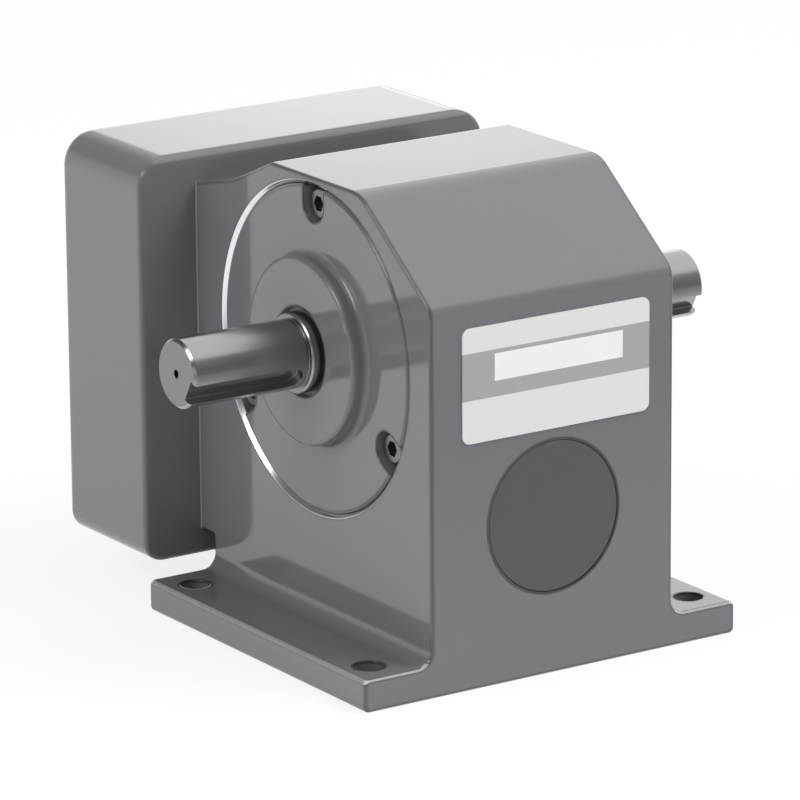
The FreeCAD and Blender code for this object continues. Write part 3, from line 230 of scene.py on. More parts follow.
@dataclass(frozen=True)
class SprayedEnamel(Finish):
    """Gloss enamel sprayed over a rubbed-down casting.

    Attributes:
        painted_edge_shade_colour: sRGB hex of the dark colour painted near an edge as shade.
        edge_mm: how far from an edge the painted shade reaches.
        painted_edge_shade_share: how far the painted shade darkens the colour at an edge.
        painted_edge_shade_backing: share of solid metal behind the surface where the painted shade starts and
            where it is full.
        flow_mm: how far the wet film flows round an edge.
        peel_mm: width of the coat's orange peel.
        peel_depth_mm: depth of the orange peel.
        cloud_mm: width of the slow changes in film thickness.
    """

    gloss_spread: float = 0.2
    painted_edge_shade_colour: str = "#2a2b2d"
    edge_mm: float = 0.8
    painted_edge_shade_share: float = 0.65
    painted_edge_shade_backing: tuple[float, float] = (0.97, 0.86)
    flow_mm: float = 1.3
    peel_mm: float = 2.2
    peel_depth_mm: float = 0.004
    cloud_mm: float = 45.0

    def work(self, tree: bpy.types.NodeTree, shader: bpy.types.Node) -> None:
        """Adds orange peel, cloudy gloss and shade painted dark on the edges.

        Args:
            tree: the material's nodes.
            shader: its surface shader.
        """
        place = add_node(tree, "ShaderNodeTexCoord").outputs["Object"]
        cloud, peel = (
            add_node(
                tree,
                "ShaderNodeTexNoise",
                {"Scale": pattern_scale(width_mm), "Detail": detail},
                {"Vector": place},
            ).outputs["Fac"]
            for width_mm, detail in ((self.cloud_mm, 3.0), (self.peel_mm, 1.5))
        )
        # Painted shade: the body colour turns dark near every outside edge.
        painted_edge_shade = self.near_edges(tree, self.edge_mm, self.painted_edge_shade_backing, self.painted_edge_shade_share)
        coat = add_node(
            tree,
            "ShaderNodeMix",
            {"data_type": "RGBA", COLOUR_A: srgb(self.colour), COLOUR_B: srgb(self.painted_edge_shade_colour)},
            {0: painted_edge_shade},
        )
        tree.links.new(coat.outputs[COLOUR_OUT], shader.inputs["Base Color"])
        self.vary_gloss(tree, shader, cloud)
        self.raise_relief(tree, shader, peel, self.peel_depth_mm, self.flow_mm)

    def near_edges(
        self, tree: bpy.types.NodeTree, reach_mm: float, backing: tuple[float, float], most: float
    ) -> bpy.types.NodeSocket:
        """Finds where the surface is near an outside edge.

        Args:
            tree: the material's nodes.
            reach_mm: how far from an edge is near.
            backing: share of solid metal behind the surface where nearness starts and where it is full.
            most: value where nearness is full.

        Returns:
            A socket that rises from zero to that value.
        """
        solid = add_node(
            tree,
            "ShaderNodeAmbientOcclusion",
            {"samples": EDGE_RAYS, "inside": True, "Distance": reach_mm * MM},
        )
        start, full = backing
        near = add_node(
            tree,
            "ShaderNodeMapRange",
            {"From Min": start, "From Max": full, "To Max": most},
            {"Value": solid.outputs["AO"]},
        )
        return near.outputs["Result"]


@dataclass(frozen=True)
class FacedBore(SprayedEnamel):
    """Enamel that is cut back to bare metal round the mouths of the cover bores.

    A pale line painted along the joint with the gear case stands in for a highlight on the joint's edge, and
    a pale highlight is painted along the top edges of the feet.

    Attributes:
        bare_colour: sRGB hex of the bare metal.
        bare_roughness: roughness of the bare metal.
        line: height of the bores' axis above the base, in metres.
        mouth_mm: radius of the bare ring's outer edge, from that axis.
        depth_mm: how far out from mid-width the bare ring starts.
        painted_joint_highlight_colour: sRGB hex of the pale highlight painted along the joint with the gear
            case.
        painted_joint_highlight_mm: where along X the painted joint highlight starts.
        painted_foot_highlight_colour: sRGB hex of the pale highlight painted on the feet's edges.
        painted_foot_highlight_share: how far the painted highlight changes the film's colour.
        painted_foot_highlight_mm: how far from an edge the painted highlight reaches.
        painted_foot_highlight_backing: share of solid metal behind the surface where the painted highlight
            starts and where it is full.
        foot_mm: heights at which the painted highlight starts, is full and ends.
        slope: least and greatest upward slope of an edge that takes the painted highlight, so that the holes
            stay plain.
    """

    bare_colour: str = "#ececec"
    bare_roughness: float = 0.15
    line: float = 0.0
    mouth_mm: float = 46.35
    depth_mm: float = 37.9
    painted_joint_highlight_colour: str = "#8a8c8f"
    painted_joint_highlight_mm: float = -58.7
    painted_foot_highlight_colour: str = "#d4d6d8"
    painted_foot_highlight_share: float = 0.9
    painted_foot_highlight_mm: float = 1.5
    painted_foot_highlight_backing: tuple[float, float] = (0.92, 0.72)
    foot_mm: tuple[float, float, float] = (4.0, 7.5, 10.0)
    slope: tuple[float, float] = (0.3, 0.94)

    def work(self, tree: bpy.types.NodeTree, shader: bpy.types.Node) -> None:
        """Adds the enamel, then the bare rings, the painted joint highlight and the painted highlights on the
        feet by where they lie.

        Args:
            tree: the material's nodes.
            shader: its surface shader.
        """
        super().work(tree, shader)
        place = add_node(tree, "ShaderNodeTexCoord").outputs["Object"]
        bare = self.bare_rings(tree, place)
        along = add_node(tree, "ShaderNodeSeparateXYZ", links={"Vector": place}).outputs["X"]
        # Painted highlight: a pale line on the housing along its joint with the gear case.
        joint = add_node(
            tree, "ShaderNodeMath", {"operation": "LESS_THAN", 1: self.painted_joint_highlight_mm * MM}, {0: along}
        ).outputs["Value"]
        # Painted highlight: a pale line along the top edges of the feet.
        rubbed = self.painted_foot_highlights(tree, place)
        colour = shader.inputs["Base Color"]
        for code, share in (
            (self.bare_colour, bare),
            (self.painted_joint_highlight_colour, joint),
            (self.painted_foot_highlight_colour, rubbed),
        ):
            mixed = add_node(
                tree,
                "ShaderNodeMix",
                {"data_type": "RGBA", COLOUR_B: srgb(code)},
                {0: share, COLOUR_A: colour.links[0].from_socket},
            )
            tree.links.new(mixed.outputs[COLOUR_OUT], colour)
        roughness = shader.inputs["Roughness"]
        gloss = add_node(
            tree,
            "ShaderNodeMix",
            {"data_type": "FLOAT", VALUE_B: self.bare_roughness},
            {0: bare, VALUE_A: roughness.links[0].from_socket},
        )
        tree.links.new(gloss.outputs[VALUE_OUT], roughness)
        tree.links.new(bare, shader.inputs["Metallic"])

    def bare_rings(
        self, tree: bpy.types.NodeTree, place: bpy.types.NodeSocket
    ) -> bpy.types.NodeSocket:
        """Finds the bare rings round the mouths of the cover bores.

        Args:
            tree: the material's nodes.
            place: socket of the point's place on the object.

        Returns:
            A socket that is one on the bare metal and zero elsewhere.
        """
        start = (0.0, 0.0, self.line)
        centred = add_node(
            tree, "ShaderNodeVectorMath", {"operation": "SUBTRACT", 1: start}, {0: place}
        ).outputs["Vector"]
        across = add_node(
            tree, "ShaderNodeVectorMath", {"operation": "MULTIPLY", 1: (1.0, 0.0, 1.0)}, {0: centred}
        ).outputs["Vector"]
        radius = add_node(tree, "ShaderNodeVectorMath", {"operation": "LENGTH"}, {0: across}).outputs["Value"]
        along = add_node(tree, "ShaderNodeSeparateXYZ", links={"Vector": centred}).outputs["Y"]
        out = add_node(tree, "ShaderNodeMath", {"operation": "ABSOLUTE"}, {0: along}).outputs["Value"]
        inside = add_node(
            tree, "ShaderNodeMath", {"operation": "LESS_THAN", 1: self.mouth_mm * MM}, {0: radius}
        ).outputs["Value"]
        outside = add_node(
            tree, "ShaderNodeMath", {"operation": "GREATER_THAN", 1: self.depth_mm * MM}, {0: out}
        ).outputs["Value"]
        ring = add_node(tree, "ShaderNodeMath", {"operation": "MULTIPLY"}, {0: inside, 1: outside})
        return ring.outputs["Value"]

    def painted_foot_highlights(
        self, tree: bpy.types.NodeTree, place: bpy.types.NodeSocket
    ) -> bpy.types.NodeSocket:
        """Finds where a pale highlight is painted on the top edges of the feet.

        Args:
            tree: the material's nodes.
            place: socket of the point's place on the object.

        Returns:
            A socket that is highest where the highlight is painted and zero elsewhere.
        """
        start, full, stop = (height_mm * MM for height_mm in self.foot_mm)
        height = add_node(tree, "ShaderNodeSeparateXYZ", links={"Vector": place}).outputs["Z"]
        above = add_node(
            tree, "ShaderNodeMapRange", {"From Min": start, "From Max": full}, {"Value": height}
        ).outputs["Result"]
        below = add_node(
            tree, "ShaderNodeMath", {"operation": "LESS_THAN", 1: stop}, {0: height}
        ).outputs["Value"]
        facing = add_node(tree, "ShaderNodeNewGeometry").outputs["Normal"]
        upward = add_node(tree, "ShaderNodeSeparateXYZ", links={"Vector": facing}).outputs["Z"]
        least, greatest = self.slope
        span = {"operation": "COMPARE", 1: (least + greatest) / 2, 2: (greatest - least) / 2}
        tilted = add_node(tree, "ShaderNodeMath", span, {0: upward}).outputs["Value"]
        share = self.near_edges(tree, self.painted_foot_highlight_mm, self.painted_foot_highlight_backing, self.painted_foot_highlight_share)
        for mask in (above, below, tilted):
            share = add_node(
                tree, "ShaderNodeMath", {"operation": "MULTIPLY"}, {0: share, 1: mask}
            ).outputs["Value"]
        return share


@dataclass(frozen=True)
class TurnedMetal(Finish):
    """Metal turned or ground on its own axis, marked in rings.

    Attributes:
        axis: direction of the axis.
        line: height of the axis above the base, in metres.
        mark_mm: spacing of the rings.
        mark_depth_mm: depth of the rings.
        mark_span: values of the rings' pattern at the smoothest and the roughest point.
        edge_mm: how far an edge is broken.
        end_shade: how much darker a faced end is than a ground barrel.
        end_span: how squarely a face lies across the axis where that shade starts and where it is full.
        stretch: how far the rings stretch the gloss along the axis.
    """

    metallic: float = 1.0
    gloss_spread: float = 0.07
    axis: Axis = Axis.Y
    line: float = 0.0
    mark_mm: float = 0.6
    mark_depth_mm: float = 0.0002
    mark_span: tuple[float, float] = (0.3, 0.7)
    edge_mm: float = 0.3
    end_shade: float = 0.35
    end_span: tuple[float, float] = (0.85, 0.98)
    stretch: float = 0.4

    def work(self, tree: bpy.types.NodeTree, shader: bpy.types.Node) -> None:
        """Adds rings, a darker tone on faced ends, and gloss that is stretched along the axis.

        Args:
            tree: the material's nodes.
            shader: its surface shader.
        """
        rings = self.turned_rings(tree)
        self.vary_gloss(tree, shader, rings, self.mark_span)
        self.raise_relief(tree, shader, rings, self.mark_depth_mm, self.edge_mm)
        tone = add_node(
            tree,
            "ShaderNodeMix",
            {"data_type": "RGBA", COLOUR_A: srgb(self.colour), COLOUR_B: BLACK},
            {0: self.faced_ends(tree)},
        )
        tree.links.new(tone.outputs[COLOUR_OUT], shader.inputs["Base Color"])
        around = add_node(tree, "ShaderNodeTangent", {"direction_type": "RADIAL", "axis": self.axis.name})
        shader.inputs["Anisotropic"].default_value = self.stretch
        shader.inputs["Anisotropic Rotation"].default_value = QUARTER_TURN
        tree.links.new(around.outputs["Tangent"], shader.inputs["Tangent"])

    def turned_rings(self, tree: bpy.types.NodeTree) -> bpy.types.NodeSocket:
        """Adds rings that follow the length on a barrel and the radius on an end face.

        Args:
            tree: the material's nodes.

        Returns:
            The socket of the rings' pattern.
        """
        place = add_node(tree, "ShaderNodeTexCoord").outputs["Object"]
        start = (0.0, 0.0, self.line)
        sideways = tuple(1.0 - part for part in self.axis.value)
        centred = add_node(
            tree, "ShaderNodeVectorMath", {"operation": "SUBTRACT", 1: start}, {0: place}
        ).outputs["Vector"]
        along = add_node(
            tree, "ShaderNodeVectorMath", {"operation": "DOT_PRODUCT", 1: self.axis.value}, {0: centred}
        ).outputs["Value"]
        across = add_node(
            tree, "ShaderNodeVectorMath", {"operation": "MULTIPLY", 1: sideways}, {0: centred}
        ).outputs["Vector"]
        radius = add_node(tree, "ShaderNodeVectorMath", {"operation": "LENGTH"}, {0: across}).outputs["Value"]
        path = add_node(tree, "ShaderNodeMath", {"operation": "ADD"}, {0: along, 1: radius}).outputs["Value"]
        rings = add_node(
            tree,
            "ShaderNodeTexNoise",
            {"noise_dimensions": "1D", "Scale": pattern_scale(self.mark_mm), "Detail": 3.0},
            {"W": path},
        )
        return rings.outputs["Fac"]

    def faced_ends(self, tree: bpy.types.NodeTree) -> bpy.types.NodeSocket:
        """Finds the end faces, which lie square to the axis.

        Args:
            tree: the material's nodes.

        Returns:
            A socket of the shade, which is zero on a barrel.
        """
        facing = add_node(tree, "ShaderNodeNewGeometry").outputs["Normal"]
        lean = add_node(
            tree, "ShaderNodeVectorMath", {"operation": "DOT_PRODUCT", 1: self.axis.value}, {0: facing}
        ).outputs["Value"]
        square = add_node(tree, "ShaderNodeMath", {"operation": "ABSOLUTE"}, {0: lean}).outputs["Value"]
        start, full = self.end_span
        shade = add_node(
            tree,
            "ShaderNodeMapRange",
            {"From Min": start, "From Max": full, "To Max": self.end_shade},
            {"Value": square},
        )
        return shade.outputs["Result"]


@dataclass(frozen=True)
class GrainedSurface(Finish):
    """Moulded, plated or fibrous surface with an even grain.

    Attributes:
        fleck: sRGB hex of the grain's second colour.
        grain_mm: width of the grain.
        grain_depth_mm: depth of the grain.
        edge_mm: how far an edge is rounded.
    """

    fleck: str = "#808080"
    grain_mm: float = 0.8
    grain_depth_mm: float = 0.02
    edge_mm: float = 0.25

    def work(self, tree: bpy.types.NodeTree, shader: bpy.types.Node) -> None:
        """Adds the grain to colour, gloss and relief.

        Args:
            tree: the material's nodes.
            shader: its surface shader.
        """
        place = add_node(tree, "ShaderNodeTexCoord").outputs["Object"]
        grain = add_node(
            tree,
            "ShaderNodeTexNoise",
            {"Scale": pattern_scale(self.grain_mm), "Detail": 4.0},
            {"Vector": place},
        ).outputs["Fac"]
        tone = add_node(
            tree,
            "ShaderNodeMix",
            {"data_type": "RGBA", COLOUR_A: srgb(self.colour), COLOUR_B: srgb(self.fleck)},
            {0: grain},
        )
        tree.links.new(tone.outputs[COLOUR_OUT], shader.inputs["Base Color"])
        self.vary_gloss(tree, shader, grain)
        self.raise_relief(tree, shader, grain, self.grain_depth_mm, self.edge_mm)


@dataclass(frozen=True)
class PrintedPlate(Finish):
    """Plain white plate with a printed grey band and a bare white window in it.

    Attributes:
        band_colour: sRGB hex of the band.
        window_colour: sRGB hex of the window.
        band_mm: lower and upper height of the band.
        window_mm: lower and upper height of the window.
        window_span_mm: left and right edge of the window.
        grain_mm: width of the film's fine grain.
        grain_depth_mm: depth of the grain.
        edge_mm: how far the plate's edge is rounded.
    """

    band_colour: str = "#9a9b9c"
    window_colour: str = "#dfdfdf"
    band_mm: tuple[float, float] = (80.2, 93.1)
    window_mm: tuple[float, float] = (84.5, 92.0)
    window_span_mm: tuple[float, float] = (-19.15, 22.3)
    grain_mm: float = 1.5
    grain_depth_mm: float = 0.003
    edge_mm: float = 0.2

    def work(self, tree: bpy.types.NodeTree, shader: bpy.types.Node) -> None:
        """Adds the band and the window by height and span, and a fine grain.

        Args:
            tree: the material's nodes.
            shader: its surface shader.
        """
        place = add_node(tree, "ShaderNodeTexCoord").outputs["Object"]
        parts = add_node(tree, "ShaderNodeSeparateXYZ", links={"Vector": place}).outputs
        spans = (("Z", self.band_mm), ("Z", self.window_mm), ("Y", self.window_span_mm))
        masks = []
        for part, (low, high) in spans:
            span = {"operation": "COMPARE", 1: (low + high) / 2 * MM, 2: (high - low) / 2 * MM}
            masks.append(add_node(tree, "ShaderNodeMath", span, {0: parts[part]}).outputs["Value"])
        band, tall, wide = masks
        window = add_node(tree, "ShaderNodeMath", {"operation": "MULTIPLY"}, {0: tall, 1: wide})
        banded = add_node(
            tree,
            "ShaderNodeMix",
            {"data_type": "RGBA", COLOUR_A: srgb(self.colour), COLOUR_B: srgb(self.band_colour)},
            {0: band},
        )
        printed = add_node(
            tree,
            "ShaderNodeMix",
            {"data_type": "RGBA", COLOUR_B: srgb(self.window_colour)},
            {0: window.outputs["Value"], COLOUR_A: banded.outputs[COLOUR_OUT]},
        )
        grain = add_node(
            tree,
            "ShaderNodeTexNoise",
            {"Scale": pattern_scale(self.grain_mm), "Detail": 2.0},
            {"Vector": place},
        ).outputs["Fac"]
        tree.links.new(printed.outputs[COLOUR_OUT], shader.inputs["Base Color"])
        self.vary_gloss(tree, shader, grain)
        self.raise_relief(tree, shader, grain, self.grain_depth_mm, self.edge_mm)


# Grey alkyd enamel sprayed over a rubbed-down iron casting: level and glossy, with mirror images of
# near parts, a trace of orange peel and shade painted dark on sharp edges.
ENAMEL = SprayedEnamel("sprayed_grey_enamel", "#66686b", 0.08, ior=1.65)

# The same enamel on the gear case, whose fuller rim lets the wet film flow further round, and with
# less shade painted dark on its edges.
CASE_ENAMEL = SprayedEnamel(
    "enamel_on_the_gear_case", "#66686b", 0.08, ior=1.65, painted_edge_shade_share=0.4, flow_mm=2.2
)

# The same enamel on the housing, with more shade painted dark on its crisp edges, cut back to bright iron
# where the cover bores are faced off after spraying, and with pale highlights painted along the feet and the
# case joint.
FACED_ENAMEL = FacedBore(
    "enamel_faced_at_the_bores", "#66686b", 0.08, ior=1.65, edge_mm=1.0, painted_edge_shade_share=0.95, flow_mm=0.9
)

# Carbon steel ground between centres: satin, with soft highlights along the shaft and faint rings that
# are drawn coarser than grit marks so that they show.
GROUND_STEEL = TurnedMetal("ground_shaft_steel", "#a4a5a7", 0.22)

# Case-hardened gear steel, ground: bright, with finer rings.
WORM_STEEL = TurnedMetal("ground_worm_steel", "#a3a4a7", 0.22, mark_mm=0.4)
PINION_STEEL = TurnedMetal("ground_pinion_steel", "#a3a4a7", 0.22, mark_mm=0.4)

# Tin bronze, turned and hobbed: warm and satin, with open rings.
HOBBED_BRONZE = TurnedMetal("hobbed_tin_bronze", "#b98a4e", 0.3, mark_mm=0.8)

# Chrome bearing steel with pressed shields: the brightest of the steels.
OUTPUT_RACES = TurnedMetal("output_bearing_steel", "#bfc0c3", 0.18, mark_mm=0.5)
WORM_RACES = TurnedMetal("worm_bearing_steel", "#bfc0c3", 0.18, mark_mm=0.5)
PINION_RACES = TurnedMetal("pinion_bearing_steel", "#bfc0c3", 0.18, mark_mm=0.5)

# Alloy screw steel with a zinc plate: cool grey and softly mottled.
ZINC_PLATE = GrainedSurface(
    "zinc_plated_screw_steel",
    "#74767a",
    0.3,
    metallic=1.0,
    fleck="#8c8e92",
    grain_mm=0.7,
    grain_depth_mm=0.004,
)

# Spring steel with a phosphate coat: nearly black and dull.
PHOSPHATE = GrainedSurface(
    "phosphated_spring_steel",
    "#3d3e40",
    0.45,
    metallic=1.0,
    fleck="#55575a",
    grain_mm=0.5,
    grain_depth_mm=0.004,
)

# Moulded dark grey cap over a steel plug: matt, with a fine spark-eroded grain.
PLUG_CAP = GrainedSurface(
    "moulded_plug_cap", "#484a4c", 0.55, fleck="#505153", grain_mm=0.9, grain_depth_mm=0.01
)

# Oiled fibre gasket: brown, dull and fibrous.
GASKET_FIBRE = GrainedSurface("oiled_gasket_fibre", "#8a7350", 0.8, fleck="#6d5a3d", grain_mm=0.6)

# Nitrile lip seals under grey overspray: dull, and much paler than bare rubber.
SPRAYED_SEAL = GrainedSurface(
    "oversprayed_nitrile_rubber", "#8a8c8e", 0.45, fleck="#96989a", grain_mm=0.6, grain_depth_mm=0.006
)

# Moulded nitrile rubber: black with a soft sheen.
NITRILE = GrainedSurface(
    "moulded_nitrile_rubber", "#1d1d1e", 0.5, fleck="#262627", grain_mm=0.6, grain_depth_mm=0.006
)

# White polyester film over thin aluminium: smooth and softly glossy.
PLATE_FILM = PrintedPlate("white_polyester_film", "#d0d0d0", 0.3)


@dataclass
class Assembly:
    """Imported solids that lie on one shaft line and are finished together.

    Attributes:
        nodes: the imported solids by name.
        joint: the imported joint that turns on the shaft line.
    """

    nodes: dict[str, bpy.types.Object]
    joint: dict[str, Any]

    @property
    def axis(self) -> Axis:
        """Direction of the shaft line."""
        return Axis(tuple(self.joint["axis"]))

    @property
    def line(self) -> float:
        """Height of the shaft line above the base, in metres."""
        return self.joint["pos_m"][2]

    def give(self, finish: Finish, *names: str) -> None:
        """Gives the named solids a finish."""
        finish.dress(*(self.nodes[name] for name in names))

    def turn(self, finish: TurnedMetal, *names: str) -> None:
        """Gives the named solids a finish that is turned on the shaft line."""
        self.give(replace(finish, axis=self.axis, line=self.line), *names)

    def dress(self) -> None:
        """Gives each solid of the assembly its finish."""
        raise NotImplementedError


@dataclass
class Casting(Assembly):
    """Housing, end covers and what closes them."""

    def dress(self) -> None:
        """Gives the casting and its fittings their finishes."""
        self.give(replace(FACED_ENAMEL, line=self.line), "housing")
        self.give(ENAMEL, "front_cover", "rear_cover")
        self.give(ZINC_PLATE, "front_cover_screws", "rear_cover_screws")
        self.give(GASKET_FIBRE, "front_cover_gasket", "rear_cover_gasket")
        self.give(SPRAYED_SEAL, "front_oil_seal", "rear_oil_seal")
        self.give(PLUG_CAP, "bore_plug")
        self.give(PLATE_FILM, "nameplate")


@dataclass
class OutputLine(Assembly):
    """Output shaft with its wheel and bearings."""

    def dress(self) -> None:
        """Gives the output line its finishes."""
        self.turn(GROUND_STEEL, "output_shaft", "wheel_key", "front_wheel_spacer", "rear_wheel_spacer")
        self.turn(HOBBED_BRONZE, "worm_wheel")
        for end in ("front", "rear"):
            self.turn(OUTPUT_RACES, f"{end}_bearing_outer_race", f"{end}_bearing_inner_race")


@dataclass
class WormLine(Assembly):
    """Worm shaft with its gear, bearings and seal."""

    def dress(self) -> None:
        """Gives the worm line its finishes."""
        self.turn(WORM_STEEL, "worm_shaft", "primary_gear", "primary_gear_key")
        for end in ("plug_end", "drive_end"):
            self.turn(WORM_RACES, f"{end}_bearing_outer_race", f"{end}_bearing_inner_race")
        self.give(PHOSPHATE, "worm_bearing_retaining_ring", "primary_gear_retaining_ring")
        self.give(NITRILE, "worm_shaft_seal")


@dataclass
class MotorSide(Assembly):
    """Gear case, motor plate and input pinion."""

    def dress(self) -> None:
        """Gives the motor side its finishes."""
        self.give(CASE_ENAMEL, "gear_case")
        self.give(ENAMEL, "motor_plate")
        self.give(ZINC_PLATE, "case_screws", "plate_screws")
        self.turn(PINION_STEEL, "input_pinion")
        self.turn(PINION_RACES, "pinion_bearing_outer_race", "pinion_bearing_inner_race")
        self.give(PHOSPHATE, "pinion_retaining_ring", "pinion_bearing_retaining_ring")


@dataclass(frozen=True)
class SoftBox:
    """A soft rectangular lamp, brightest in the middle of its cloth.

    Attributes:
        name: the lamp's name.
        place: its centre, in metres.
        aim: the point that it faces, in metres.
        width: its width in metres.
        height: its height in metres.
        glow: brightness of its middle, where one is white.
        mirrored: whether polished surfaces show it, or only take its light.
    """

    name: str
    place: tuple[float, float, float]
    aim: tuple[float, float, float]
    width: float
    height: float
    glow: float
    mirrored: bool = False

    def hang(self) -> None:
        """Adds the lamp to the scene, out of the camera's sight."""
        lamp = bpy.data.lights.new(self.name, "AREA")
        lamp.shape = "RECTANGLE"
        lamp.size = self.width
        lamp.size_y = self.height
        lamp.energy = self.glow * math.pi * self.width * self.height
        self.fade(lamp)
        holder = bpy.data.objects.new(self.name, lamp)
        holder.location = self.place
        facing = Vector(self.aim) - Vector(self.place)
        holder.rotation_euler = facing.to_track_quat("-Z", "Y").to_euler()
        holder.visible_camera = False
        holder.visible_glossy = self.mirrored
        bpy.context.scene.collection.objects.link(holder)
        LOG.info("%s: %.1f W", self.name, lamp.energy)

    def fade(self, lamp: bpy.types.AreaLight) -> None:
        """Fades the lamp from its middle to its edges.

        Args:
            lamp: the lamp that is faded.
        """
        lamp.use_nodes = True
        tree = lamp.node_tree
        tree.nodes.clear()
        spot = add_node(tree, "ShaderNodeNewGeometry").outputs["Parametric"]
        offset = add_node(
            tree, "ShaderNodeVectorMath", {"operation": "SUBTRACT", 1: CLOTH_MIDDLE}, {0: spot}
        ).outputs["Vector"]
        flat = add_node(
            tree, "ShaderNodeVectorMath", {"operation": "MULTIPLY", 1: HALF_WIDTHS}, {0: offset}
        ).outputs["Vector"]
        reach = add_node(tree, "ShaderNodeVectorMath", {"operation": "LENGTH"}, {0: flat}).outputs["Value"]
        share = add_node(
            tree,
            "ShaderNodeMapRange",
            {"interpolation_type": "SMOOTHSTEP", "From Min": 1.0, "From Max": 0.0},
            {"Value": reach},
        )
        cloth = add_node(tree, "ShaderNodeEmission", links={"Strength": share.outputs["Result"]})
        add_node(tree, "ShaderNodeOutputLight", links={"Surface": cloth.outputs["Emission"]})


